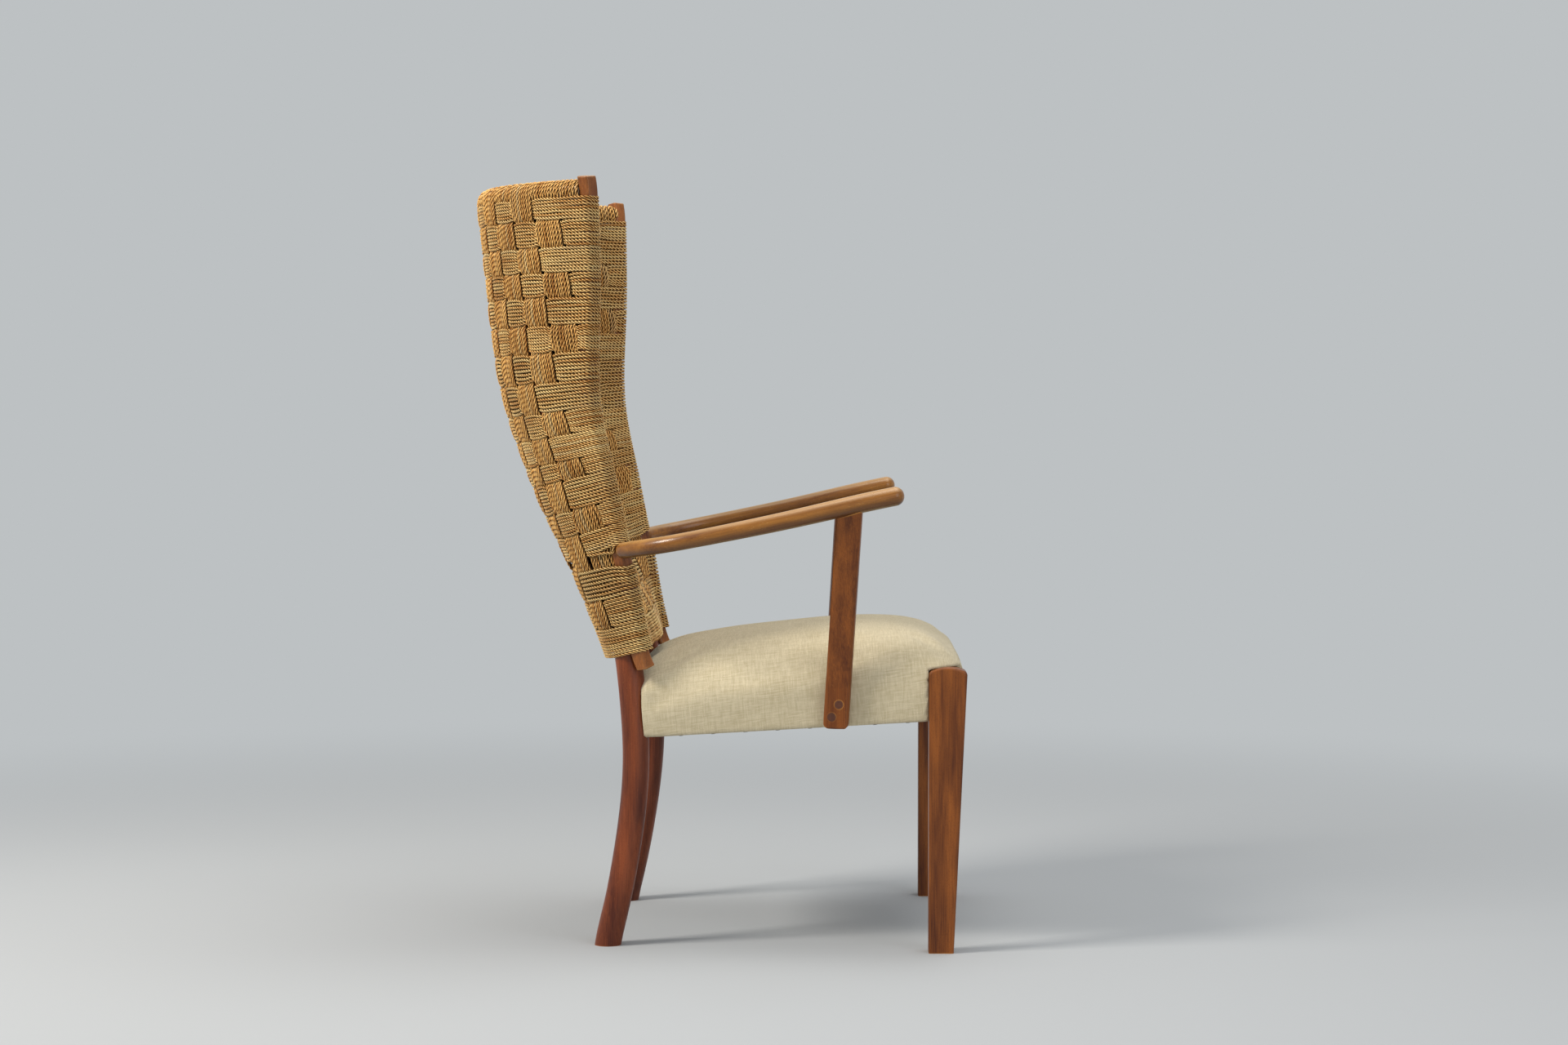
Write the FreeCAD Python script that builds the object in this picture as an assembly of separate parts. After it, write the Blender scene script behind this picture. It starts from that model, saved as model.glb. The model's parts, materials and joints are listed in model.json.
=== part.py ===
import FreeCAD, Part
import functools
import math
import os

# Easy chair: an upholstered seat on four legs, open arms, and a tall curved back woven in seagrass cord
# between two bare stiles. It faces -Y, its left is +X, and the floor is Z = 0. Lengths are in millimetres.

V = FreeCAD.Vector

# Fits shared by all pieces
clearance = 0.2
overrun = 8.0

# Front legs: straight rear and outer faces, tapering down to the foot
leg_outer_half = 285.0
leg_rear_y = -307.5
leg_top_depth = 55.0
leg_foot_depth = 36.0
leg_top_width = 42.0
leg_foot_width = 34.0
leg_height = 409.0
leg_dome_rise = 7.0
leg_corner_round = 7.0
leg_edge_round = 3.5

# Rear posts: each is one bent round piece from the foot to the top rail
post_half = 212.0
post_top_half = 202.0
post_radius = 19.0
post_top_radius = 11.0
post_foot_y = 154.0
post_waist_y = 114.0
post_waist_z = 275.0
post_lap_y = 124.7
post_lap_z = 412.0
post_tenon_radius = 6.0
post_tenon_length = 16.0

# Stiles: the two bare-ended bars that the weave's front edges wrap
stile_bottom_z = 404.0
stile_top_z = 1105.0
stile_bottom_half = 233.0
stile_top_half = 309.0
stile_bottom_y = 98.0
stile_top_y = 177.0
stile_width = 20.0
stile_thickness = 22.0
stile_turn = 55.0
stile_corner_round = 4.0
stile_end_round = 2.0

# Woven back: two layers of cord round the frame, joined over the top rail and round the stiles
weave_top_z = 1101.0
weave_bottom_z = 414.0
weave_edge_top_z = 1078.0
weave_rear_bottom_y = 167.0
weave_rear_top_y = 365.0
weave_layer = 9.0
stile_wrap = 4.5
weave_depth = 42.0
weave_bottom_depth = 86.0
weave_bottom_slope = 15.0
weave_top_round = 20.0
weave_top_inset = 14.0
weave_box_turn = 80.0

# Rails of the back
top_rail_height = 28.0
back_rail_gap = 1.5
bottom_rail_thickness = 14.0
bottom_rail_setback = 1.5
bottom_rail_height = 34.0
bottom_rail_z = 466.0
bottom_rail_lean = 14.0
back_tenon_radius = 5.0
back_tenon_depth = 14.0

# Seat rails, on a plane that slopes down to the rear
seat_tilt = 4.0
seat_front_z = 330.0
rail_height = 52.0
rail_thickness = 24.0
front_rail_setback = 8.0
side_rail_front_half = 272.0
side_rail_rear_half = 226.0
rail_tenon_length = 19.0
rear_tenon_length = 13.0
rail_tenon_thickness = 10.0
rail_tenon_height = 34.0

# Glued blocks in the corners of the seat rails
block_leg = 62.0
block_height = 34.0
block_screw_length = 46.0

# Webbing and springs
web_width = 50.0
web_thickness = 2.0
web_end_margin = 7.0
springs_each_way = 3
spring_pitch_across = 125.0
spring_pitch_along = 118.0
spring_wire_radius = 1.7
spring_end_radius = 36.0
spring_waist_radius = 24.0
spring_turns = 5

# Upholstery, laid out from the dust cover up
dust_cover_thickness = 0.8
cover_thickness = 1.5
cover_turn_under = 20.0
dust_cover_margin = 9.0
cover_side_gap = 7.0
cover_front_gap = 9.5
cover_rear_gap = 3.0
cover_crown = 143.0
cover_rear_drop = 12.0
cover_notch_gap = 3.0
leg_notch_gap = 0.5
hessian_thickness = 1.2
hessian_margin = 5.0
hessian_rise = 44.0
hessian_slope_run = 38.0

# Tacks along the seat's underside
tack_head_radius = 3.0
tack_head_height = 0.6
tack_shank_radius = 0.8
tack_length = 11.0
tack_pitch = 45.0
tack_margin = 15.0
tack_corner_gap = 62.0

# Arms
arm_rear_height = 23.5
arm_front_height = 27.0
arm_rear_width = 24.0
arm_front_width = 34.0
arm_rear_z = 575.0
arm_front_z = 654.0
arm_bow_half = 339.0
arm_front_y = -258.0
arm_rear_ahead = 17.0
arm_rear_out = 12.5
arm_nose_length = 13.0

# Arm posts
arm_post_width = 36.0
arm_post_thickness = 20.0
arm_post_gap = 0.6
arm_post_corner_round = 5.0
arm_post_end_round = 3.0
arm_post_foot_round = 9.0
arm_post_bottom_z = 321.0
arm_post_bend_z = 392.0
arm_post_bend_length = 24.0
arm_post_bottom_y = -175.0
arm_post_top_y = -195.0
arm_tenon_width = 22.0
arm_tenon_thickness = 10.0
arm_tenon_length = 9.0

# Screws, wood plugs and dowels
screw_radius = 2.4
screw_head_radius = 4.5
screw_head_height = 3.0
arm_screw_length = 40.0
rail_screw_length = 30.0
plug_radius = 6.3
plug_depth = 5.0
upper_screw_y = -182.4
upper_screw_z = 356.0
lower_screw_y = -172.0
lower_screw_z = 338.2
dowel_radius = 4.0
dowel_length = 30.0

# Post: share of the way from its lap with the weave to the top rail, where its centre follows the weave
post_inside_shares = [0.07, 0.16, 0.28, 0.40, 0.55, 0.70, 0.85, 1.0]
# Post foot: share of the waist's height, share of the sweep back from the waist
post_foot_shares = [(0.0, 1.0), (0.16, 0.785), (0.35, 0.505), (0.60, 0.235), (0.83, 0.04)]
# Post girth: share of its height, share of the taper to its top
post_girth_shares = [(0.0, 0.0), (0.40, 0.0), (0.48, 0.30), (0.56, 0.75), (0.64, 1.0), (1.0, 1.0)]
# Stile: share of its height, share of its sweep to the rear
stile_sweep_shares = [
    (0.0, 0.0), (0.105, 0.215), (0.195, 0.36), (0.30, 0.56), (0.39, 0.72),
    (0.47, 0.88), (0.54, 0.98), (0.62, 1.01), (0.78, 0.97), (1.0, 1.0),
]
# Weave: share of its height, of its rear's sweep, of the boxed form round the posts, of the extra depth
weave_station_shares = [
    (0.0, 0.0, 1.0, 1.0),
    (0.088, 0.126, 0.90, 1.08),
    (0.206, 0.313, 0.60, 0.82),
    (0.302, 0.482, 0.32, 0.46),
    (0.391, 0.613, 0.10, 0.18),
    (0.535, 0.785, 0.0, 0.0),
    (0.66, 0.868, 0.0, 0.0),
    (0.853, 0.943, 0.0, 0.0),
    (1.0, 1.0, 0.0, 0.0),
]
# Weave's curves: handle lengths as shares of the half width
round_handle_share = 0.40
box_rear_handle_share = 0.62
box_side_handle_share = 0.22
flat_handle_share = 0.33
# Seat crown: its upright side's share, the powers that square its dome, its corners from side to top
crown_side_share = 0.34
crown_square_shares = (0.70, 0.80)
crown_corner_shares = (0.25, 0.80)
crown_last_share = 0.93
foot_draw_share = 0.012
# Hessian: share of its rise, share of its slope's run
hessian_shares = [(0.0, 0.0), (0.55, 0.30), (0.90, 0.70), (1.0, 1.0)]
# Arm: share of its length, of its bow, of its rise
arm_path_shares = [
    (0.0, 0.0, 0.0), (0.06, 0.43, 0.055), (0.15, 0.80, 0.13), (0.27, 0.97, 0.24),
    (0.44, 1.0, 0.405), (0.62, 0.985, 0.59), (0.80, 0.93, 0.79), (1.0, 0.86, 1.0),
]
arm_girth_shares = [(0.0, 0.0), (0.30, 0.15), (0.70, 0.75), (0.90, 1.0), (1.0, 1.0)]

# How many sections each long form is drawn through
post_sections = 16
stile_sections = 10
weave_sections = 12
weave_round_sections = 5
cushion_sections = 9
post_notch_sections = 6
arm_sections = 14

# Levels of the seat above its lowest plane, and places that follow from the sizes above
flange_level = dust_cover_thickness
web_level = flange_level + cover_thickness
rail_level = web_level + 2 * web_thickness
rail_top_level = rail_level + rail_height
spring_height = rail_height + hessian_rise - clearance
leg_front_top_y = leg_rear_y - leg_top_depth
front_rail_y = leg_front_top_y + front_rail_setback
rear_rail_y = post_waist_y + rail_thickness / 2
side_rail_run = post_waist_y - post_radius - leg_rear_y
side_slope = math.atan((side_rail_front_half - side_rail_rear_half) / side_rail_run)
side_normal = V(math.cos(side_slope), math.sin(side_slope), 0)
top_rail_top_z = weave_top_z - weave_layer - back_rail_gap
top_rail_bottom_z = top_rail_top_z - top_rail_height

turn = math.radians(stile_turn)
stile_across = V(math.cos(turn), -math.sin(turn), 0)
stile_out = V(math.sin(turn), math.cos(turn), 0)


def between(low, high, share):
    """The value a share of the way from low to high."""
    return low + (high - low) * share


def even_shares(count):
    """Evenly spaced shares from 0 to 1."""
    return [i / (count - 1) for i in range(count)]


def at_share(table, share, column=1):
    """A smooth reading of a table's column at a place in its first column."""
    rows = [(row[0], row[column]) for row in table]
    slopes = []
    for i in range(len(rows)):
        before, after = rows[max(0, i - 1)], rows[min(len(rows) - 1, i + 1)]
        slopes.append((after[1] - before[1]) / (after[0] - before[0]))
    share = min(max(share, rows[0][0]), rows[-1][0])
    i = max(j for j in range(len(rows) - 1) if rows[j][0] <= share)
    (x0, y0), (x1, y1) = rows[i], rows[i + 1]
    t = (share - x0) / (x1 - x0)
    bend0, bend1 = slopes[i] * (x1 - x0), slopes[i + 1] * (x1 - x0)
    return y0 + t * bend0 + t * t * (3 * (y1 - y0) - 2 * bend0 - bend1) + t ** 3 * (bend0 + bend1 - 2 * (y1 - y0))


def spine(points):
    """A smooth curve through the points."""
    curve = Part.BSplineCurve()
    curve.interpolate(points)
    return curve


def where(curve, measure, target):
    """The parameter of a curve where a rising measure of its points passes a target."""
    low, high = curve.FirstParameter, curve.LastParameter
    for _ in range(40):
        middle = (low + high) / 2
        if measure(curve.value(middle)) < target:
            low = middle
        else:
            high = middle
    return low


def at_height(curve, z):
    """The point where a rising curve passes a height."""
    point = curve.value(where(curve, lambda p: p.z, z))
    return V(point.x, point.y, z)


def turned(radius, quarters):
    """A point at a radius from the origin, some quarter turns round."""
    angle = quarters * math.pi / 2
    return V(radius * math.cos(angle), radius * math.sin(angle), 0)


def closed_loop(arcs):
    """A closed wire of arcs, each given by three points, joined by straight lines."""
    edges = []
    for i, arc in enumerate(arcs):
        edges.append(Part.Arc(*arc).toShape())
        edges.append(Part.LineSegment(arc[2], arcs[(i + 1) % len(arcs)][0]).toShape())
    return Part.Wire(edges)


def rounded_rectangle(width, depth, radius):
    """A closed wire on the XY plane, centred on the origin, with width along X."""
    a, b = width / 2 - radius, depth / 2 - radius
    corners = (V(a, b, 0), V(-a, b, 0), V(-a, -b, 0), V(a, -b, 0))
    return closed_loop([[c + turned(radius, i + step) for step in (0, 0.5, 1)] for i, c in enumerate(corners)])


def stretched(shape, x, y, z):
    """A unit shape scaled along each axis."""
    scale = FreeCAD.Matrix()
    scale.scale(V(x, y, z))
    return shape.transformGeometry(scale)


def oval(width, height):
    """A closed oval wire on the XY plane, with width along X."""
    return Part.Wire([stretched(Part.Circle(V(0, 0, 0), V(0, 0, 1), 1).toShape(), width / 2, height / 2, 1)])


def placed(shape, origin, across, along):
    """The shape moved from the XY plane to origin, with its normal on along and its X axis near across."""
    rotation = FreeCAD.Rotation(across, V(0, 0, 0), along, "ZXY")
    copy = shape.copy()
    copy.Placement = FreeCAD.Placement(origin, rotation).multiply(shape.Placement)
    return copy


def swept(curve, sections, section_at, across_at):
    """A smooth solid through sections spaced evenly along a curve."""
    wires = []
    for share in even_shares(sections):
        parameter = between(curve.FirstParameter, curve.LastParameter, share)
        point, along = curve.value(parameter), curve.tangent(parameter)[0]
        wires.append(placed(section_at(point), point, across_at(along), along))
    return Part.makeLoft(wires, True, False)


def box(x0, x1, y0, y1, z0, z1):
    """A block between two opposite corners."""
    return Part.makeBox(x1 - x0, y1 - y0, z1 - z0, V(x0, y0, z0))


def slab(z0, z1):
    """A block wider than the whole chair, between two heights."""
    reach = stile_top_z
    return box(-reach, reach, -reach, reach, z0, z1)


def prism(points, z0, z1):
    """A straight block over a closed outline of (x, y) points."""
    outline = Part.makePolygon([V(x, y, z0) for x, y in points + points[:1]])
    return Part.Face(outline).extrude(V(0, 0, z1 - z0))


def rod(start, end, radius):
    """A round bar from start to end."""
    return Part.makeCylinder(radius, (end - start).Length, start, end - start)


def screw(head, way, length):
    """A flat-headed screw with its head's outer face at head."""
    shank = rod(head, head + way * length, screw_radius)
    return shank.fuse(rod(head, head + way * screw_head_height, screw_head_radius)).removeSplitter()


def mirrored(shape):
    """The same piece on the chair's other side."""
    return shape.mirror(V(0, 0, 0), V(1, 0, 0))


def both(shape):
    """A piece and its mirror image as a group."""
    return Part.Compound([shape, mirrored(shape)])


def cut_by(shape, tools):
    """The shape with each tool's space taken out."""
    for tool in tools:
        shape = shape.cut(tool)
    return shape


def main_solid(shape):
    """The largest solid of a cut."""
    return max(shape.Solids, key=lambda solid: solid.Volume)


def tilted(shape):
    """A seat piece turned from level to the seat's slope."""
    copy = shape.copy()
    copy.rotate(V(0, leg_rear_y, seat_front_z), V(1, 0, 0), -seat_tilt)
    return copy


def level_z(level):
    """The untilted height of a level of the seat."""
    return seat_front_z + level


def seat_height(y, level):
    """The height of a seat level at a place along the chair."""
    slope = math.radians(seat_tilt)
    return seat_front_z + level / math.cos(slope) - (y - leg_rear_y) * math.tan(slope)


def side_x(y):
    """How far out the outer face of a side rail lies."""
    return between(side_rail_front_half, side_rail_rear_half, (y - leg_rear_y) / side_rail_run)


# Front legs


def front_leg_form(gap):
    """The left front leg with its domed top, grown all round by a gap."""
    outer, rear = leg_outer_half + gap, leg_rear_y + gap
    front_top, front_foot = leg_front_top_y - gap, leg_rear_y - leg_foot_depth - gap
    shoulder = leg_height - leg_dome_rise + gap
    crown = V(outer, (rear + front_top) / 2, leg_height + gap)
    foot_corners = [V(outer, front_foot, 0), V(outer, rear, 0)]
    top_corners = [V(outer, rear, shoulder), V(outer, front_top, shoulder)]
    profile = Part.Wire([
        Part.LineSegment(*foot_corners).toShape(),
        Part.LineSegment(foot_corners[1], top_corners[0]).toShape(),
        Part.Arc(top_corners[0], crown, top_corners[1]).toShape(),
        Part.LineSegment(top_corners[1], foot_corners[0]).toShape(),
    ])
    leg = Part.Face(profile).extrude(V(-leg_top_width - 2 * gap, 0, 0))
    inner_top, inner_foot = outer - leg_top_width - 2 * gap, outer - leg_foot_width - 2 * gap
    side, reach = rear + overrun, leg_top_depth
    taper = Part.makePolygon([
        V(inner_foot, side, 0), V(inner_top, side, shoulder),
        V(inner_top - reach, side, shoulder), V(inner_top - reach, side, 0), V(inner_foot, side, 0),
    ])
    return leg.cut(Part.Face(taper).extrude(V(0, front_top - side - overrun, 0)))


def front_leg():
    """The left front leg with its corners eased."""
    leg = front_leg_form(0)
    shoulder = leg_height - leg_dome_rise
    corners = [edge for edge in leg.Edges if abs(edge.CenterOfMass.z - shoulder) < clearance
               and edge.BoundBox.ZLength < clearance]
    leg = leg.makeFillet(leg_corner_round, corners)
    sides = [edge for edge in leg.Edges if edge.BoundBox.XLength < leg_top_width - leg_foot_width + clearance
             and edge.BoundBox.ZMax > clearance]
    return leg.makeFillet(leg_edge_round, sides)


# Stiles


def stile_spine():
    """The centre line of the left stile."""
    points = []
    for height_share in even_shares(stile_sections):
        x = between(stile_bottom_half, stile_top_half, height_share)
        y = between(stile_bottom_y, stile_top_y, at_share(stile_sweep_shares, height_share))
        points.append(V(x, y, between(stile_bottom_z, stile_top_z, height_share)))
    return spine(points)


stile_curve = stile_spine()


def stile_form(gap):
    """The left stile, with its section grown all round by a gap."""
    section = rounded_rectangle(stile_width + 2 * gap, stile_thickness + 2 * gap, stile_corner_round + gap)
    return swept(stile_curve, stile_sections, lambda point: section, lambda along: stile_across)


def stile():
    """The left stile with its ends eased."""
    bar = stile_form(0)
    ends = [face for face in bar.Faces if face.Surface.TypeId == "Part::GeomPlane"]
    return bar.makeFillet(stile_end_round, [edge for face in ends for edge in face.Edges])


def stile_seat():
    """The space across the left stile, at whose inner side the back's rails end."""
    section = rounded_rectangle(stile_width, 2 * stile_thickness, stile_corner_round)
    return swept(stile_curve, stile_sections, lambda point: section, lambda along: stile_across)


# Woven back


def weave_row(share):
    """The weave's four shape values at a share of its height."""
    return [share] + [at_share(weave_station_shares, share, column) for column in (1, 2, 3)]


def weave_edges(row, layer, inset):
    """The rear and front curves of the weave's left half, a layer inside its faces, their ends and nose."""
    height_share, sweep_share, boxed_share, depth_share = row
    z = between(weave_bottom_z, weave_top_z, height_share)
    centre = at_height(stile_curve, z)
    half_depth = stile_thickness / 2 + (0 if layer else stile_wrap) - inset
    reach = stile_width / 2 - stile_thickness / 2
    rear_y = between(weave_rear_bottom_y, weave_rear_top_y, sweep_share)
    front_y = rear_y - between(weave_depth, weave_bottom_depth, depth_share)
    rear_turn = math.radians(between(stile_turn, weave_box_turn, boxed_share))
    front_turn = math.radians(between(stile_turn, 0, boxed_share))
    sides = (
        (1, rear_y - layer - inset, rear_turn, box_rear_handle_share, box_side_handle_share),
        (-1, front_y + layer + inset, front_turn, flat_handle_share, flat_handle_share),
    )
    curves, ends = [], []
    for side, middle_y, angle, middle_share, end_share in sides:
        end = centre + stile_across * reach + stile_out * (half_depth * side)
        middle = V(0, middle_y, z)
        middle_handle = V(end.x * between(round_handle_share, middle_share, boxed_share), 0, 0)
        end_handle = V(-math.cos(angle), math.sin(angle), 0) * (
            end.x * between(round_handle_share, end_share, boxed_share))
        curve = Part.BezierCurve()
        curve.setPoles([middle, middle + middle_handle, end + end_handle, end])
        curves.append(curve)
        ends.append(end)
    return curves, ends, half_depth


def weave_section(row, layer, inset):
    """One closed level outline of the weave."""
    curves, ends, radius = weave_edges(row, layer, inset)
    middle = (ends[0] + ends[1]) * 0.5
    nose = middle + stile_across * radius
    diagonals = [middle + ((end - middle).normalize() + stile_across).normalize() * radius for end in ends]
    half = [
        curves[0].toShape(),
        Part.Arc(ends[0], diagonals[0], nose).toShape(),
        Part.Arc(nose, diagonals[1], ends[1]).toShape(),
        curves[1].toShape(),
    ]
    return Part.Wire(Part.__sortEdges__(half + [mirrored(edge) for edge in half]))


def weave_form(layer):
    """The whole body of the weave, a layer inside its faces."""
    rounded_share = 1 - weave_top_round / (weave_top_z - weave_bottom_z)
    top_share = 1.0 if layer else rounded_share
    rows = [weave_row(top_share * share) for share in even_shares(weave_sections)]
    body = Part.makeLoft([weave_section(row, layer, 0) for row in rows], True, False)
    if layer:
        body = body.cut(slab(weave_top_z - layer, weave_top_z + overrun))
    else:
        caps = []
        for share in even_shares(weave_round_sections):
            angle = share * math.pi / 2
            row = [between(rounded_share, 1.0, math.sin(angle))] + rows[-1][1:]
            caps.append(weave_section(row, layer, weave_top_inset * (1 - math.cos(angle))))
        body = body.fuse(Part.makeLoft(caps, True, False))
    below = slab(-weave_top_z, 0)
    below.rotate(V(0, 0, 0), V(1, 0, 0), -weave_bottom_slope)
    below.translate(V(0, weave_rear_bottom_y, weave_bottom_z + layer))
    return body.cut(below)


def weave_middle_y(x, z):
    """How far back the middle of the weave lies at a place across it and a height."""
    row = weave_row((z - weave_bottom_z) / (weave_top_z - weave_bottom_z))
    curves = weave_edges(row, weave_layer, 0)[0]
    return sum(curve.value(where(curve, lambda p: p.x, x)).y for curve in curves) / 2


# Rear posts


def post_spine():
    """The centre line of the left rear post."""
    points = []
    for height_share, sweep_share in post_foot_shares:
        points.append(V(post_half, between(post_waist_y, post_foot_y, sweep_share), post_waist_z * height_share))
    points.append(V(post_half, post_waist_y, post_waist_z))
    points.append(V(post_half, post_lap_y, post_lap_z))
    for share in post_inside_shares:
        x = between(post_half, post_top_half, share)
        z = between(post_lap_z, top_rail_bottom_z, share)
        points.append(V(x, weave_middle_y(x, z), z))
    below = (points[0] - points[1]).normalize() * post_radius
    above = (points[-1] - points[-2]).normalize() * post_radius
    return spine([points[0] + below] + points + [points[-1] + above])


post_curve = post_spine()


def post_ring(point):
    """The post's round section at a point of its centre line."""
    taper = at_share(post_girth_shares, point.z / top_rail_bottom_z)
    return Part.Wire([Part.Circle(V(0, 0, 0), V(0, 0, 1), between(post_radius, post_top_radius, taper)).toShape()])


def post_form():
    """The left rear post, cut level at the foot and under the top rail."""
    bar = swept(post_curve, post_sections, post_ring, lambda along: V(1, 0, 0))
    return bar.cut(slab(-stile_top_z, 0)).cut(slab(top_rail_bottom_z, 2 * stile_top_z))


def post_tenon(gap):
    """The round tenon on the left post's top."""
    top = at_height(post_curve, top_rail_bottom_z)
    return rod(top - V(0, 0, overrun), top + V(0, 0, post_tenon_length + gap), post_tenon_radius + gap)


# Rails of the back


@functools.cache
def back_hollow():
    """The space between the weave's two layers, drawn in by the rails' gap."""
    return weave_form(weave_layer + back_rail_gap)


def top_rail_form():
    """The bent rail between the stiles' tops."""
    return back_hollow().common(slab(top_rail_bottom_z, top_rail_top_z))


def bottom_rail_form(gap):
    """The straight rail between the stiles' lower ends, leaning with them, grown by a gap."""
    end = at_height(stile_curve, bottom_rail_z)
    half_t, half_h = bottom_rail_thickness / 2 + gap, bottom_rail_height / 2 + gap
    middle = end.y + bottom_rail_setback
    bar = box(-end.x, end.x, middle - half_t, middle + half_t, bottom_rail_z - half_h, bottom_rail_z + half_h)
    bar.rotate(V(0, middle, bottom_rail_z), V(1, 0, 0), -bottom_rail_lean)
    return bar.common(back_hollow())


def back_tenon(z, way, gap):
    """A round tenon from a back rail into the left stile."""
    centre = at_height(stile_curve, z)
    start = centre - way * (stile_width / 2 + overrun)
    return rod(start, centre + way * (back_tenon_depth - stile_width / 2 + gap), back_tenon_radius + gap)


# Seat frame


def frame_outline(inset):
    """The outline round the four seat rails, drawn in by an inset."""
    front, rear = front_rail_y + inset, rear_rail_y - inset
    left = [(side_x(front) - inset, front), (side_x(rear) - inset, rear)]
    return left + [(-x, y) for x, y in reversed(left)]


def rail_block(points):
    """A seat rail's bar over an outline."""
    return tilted(prism(points, level_z(rail_level), level_z(rail_top_level)))


def side_rail_form():
    """The left side rail's bar, run into the leg and the post."""
    front, rear = leg_rear_y - overrun, leg_rear_y + side_rail_run + overrun
    outer = [(side_x(front), front), (side_x(rear), rear)]
    return rail_block(outer + [(x - rail_thickness, y) for x, y in reversed(outer)])


def cross_rail_form(y, half):
    """A front or rear rail's bar with its front face at y."""
    return rail_block([(-half, y), (half, y), (half, y + rail_thickness), (-half, y + rail_thickness)])


def rail_tenon(x0, x1, y0, y1, gap):
    """A tenon at the middle height of a rail's end, with a gap at its cheeks."""
    middle = seat_height((y0 + y1) / 2, rail_level + rail_height / 2)
    half = rail_tenon_height / 2 + gap
    return box(x0 - gap, x1 + gap, y0 - gap, y1 + gap, middle - half, middle + half)


def rail_tenons(gap):
    """The left-hand tenons: side rail to leg, side rail to post, front rail to leg, rear rail to post."""
    half = rail_tenon_thickness / 2
    front_x = side_x(leg_rear_y) - rail_thickness / 2
    rear_face_y = post_waist_y - post_radius
    rear_x = side_x(rear_face_y) - rail_thickness / 2
    front_y, rear_y = front_rail_y + rail_thickness / 2, rear_rail_y - rail_thickness / 2
    leg_x = leg_outer_half - leg_top_width
    post_x = post_half - post_radius
    return (
        rail_tenon(front_x - half, front_x + half, leg_rear_y - rail_tenon_length, leg_rear_y + overrun, gap),
        rail_tenon(rear_x - half, rear_x + half, rear_face_y - overrun, rear_face_y + rail_tenon_length, gap),
        rail_tenon(leg_x - overrun, leg_x + rail_tenon_length, front_y - half, front_y + half, gap),
        rail_tenon(post_x - overrun, post_x + rear_tenon_length, rear_y - half, rear_y + half, gap),
    )


def corner_block(y, way):
    """A left-hand corner block against a cross rail's face at y; way is 1 at the front and -1 at the rear."""
    x = side_x(y) - rail_thickness - clearance
    near, far = y + clearance * way, y + block_leg * way
    points = [(x, near), (side_x(far) - rail_thickness - clearance, far), (x - block_leg, near)]
    low = level_z(rail_level + (rail_height - block_height) / 2)
    return tilted(prism(points, low, low + block_height))


def block_screw(y, way):
    """The screw through a corner block's slant into the leg or post behind it."""
    x = side_x(y) - rail_thickness - block_leg / 2
    head = V(x, y + way * block_leg / 2, level_z(rail_level + rail_height / 2))
    return tilted(screw(head, V(1, -way, 0).normalize(), block_screw_length))


# Webbing and springs


def webbing():
    """The straps under the seat, the ones along it lying on the ones across it."""
    front, rear = front_rail_y + web_end_margin, rear_rail_y - web_end_margin
    straps = []
    for place in spring_places():
        x0, x1 = place * spring_pitch_across - web_width / 2, place * spring_pitch_across + web_width / 2
        middle = (front_rail_y + rear_rail_y) / 2 + place * spring_pitch_along
        y0, y1 = middle - web_width / 2, middle + web_width / 2
        half = side_x(middle) - web_end_margin
        low, high = level_z(web_level), level_z(web_level + web_thickness)
        straps.append(box(-half, half, y0, y1, low, high))
        straps.append(box(x0, x1, front, rear, high, level_z(rail_level)))
    return [tilted(strap) for strap in straps]


def spring_places():
    """The springs' places from the middle, in pitches."""
    return [i - (springs_each_way - 1) / 2 for i in range(springs_each_way)]


def coil_point(turns):
    """A point of a spring's wire and its direction, so many turns up from the bottom."""
    share = turns / spring_turns
    waist = 1 - (2 * share - 1) ** 2
    radius = between(spring_end_radius, spring_waist_radius, waist)
    swell = (spring_waist_radius - spring_end_radius) * (1 - 2 * share) * 4 / spring_turns
    rise = spring_height - 2 * spring_wire_radius
    angle = turns * 2 * math.pi
    out, round_way = V(math.cos(angle), math.sin(angle), 0), V(-math.sin(angle), math.cos(angle), 0)
    way = out * swell + round_way * (radius * 2 * math.pi) + V(0, 0, rise / spring_turns)
    return out * radius + V(0, 0, spring_wire_radius + rise * share), way.normalize()


def arc_from(start, way, end):
    """The arc that leaves start along way and reaches end."""
    chord = end - start
    half = chord.Length / 2
    chord.normalize()
    side = (way - chord * way.dot(chord)).normalize()
    bulge = half * math.tan(way.getAngle(chord) / 2)
    return Part.Arc(start, start + chord * half + side * bulge, end).toShape()


def paired_arcs(start, start_way, end, end_way):
    """Two arcs that join two points smoothly along their directions."""
    chord, ways = end - start, start_way + end_way
    facing = 2 * (1 - start_way.dot(end_way))
    reach = (math.sqrt(chord.dot(ways) ** 2 + facing * chord.dot(chord)) - chord.dot(ways)) / facing
    middle = (start + end + (start_way - end_way) * reach) * 0.5
    return [arc_from(start, start_way, middle), arc_from(end, end_way * -1, middle)]


def spring():
    """One waisted coil spring, standing on the origin."""
    edges = []
    quarters = [i / 4 for i in range(4 * spring_turns + 1)]
    for low, high in zip(quarters, quarters[1:]):
        edges.extend(paired_arcs(*coil_point(low), *coil_point(high)))
    path = Part.Wire(Part.__sortEdges__(edges))
    start, way = coil_point(0)
    ring = Part.Wire([Part.Circle(start, way, spring_wire_radius).toShape()])
    return path.makePipeShell([ring], True, False)


def springs():
    """All the springs, standing on the webbing's crossings."""
    one = spring()
    middle = (front_rail_y + rear_rail_y) / 2
    group = []
    for across in spring_places():
        for along in spring_places():
            copy = one.copy()
            place = V(across * spring_pitch_across, middle + along * spring_pitch_along, level_z(rail_level))
            copy.translate(place)
            group.append(tilted(copy))
    return group


# Upholstery


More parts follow.
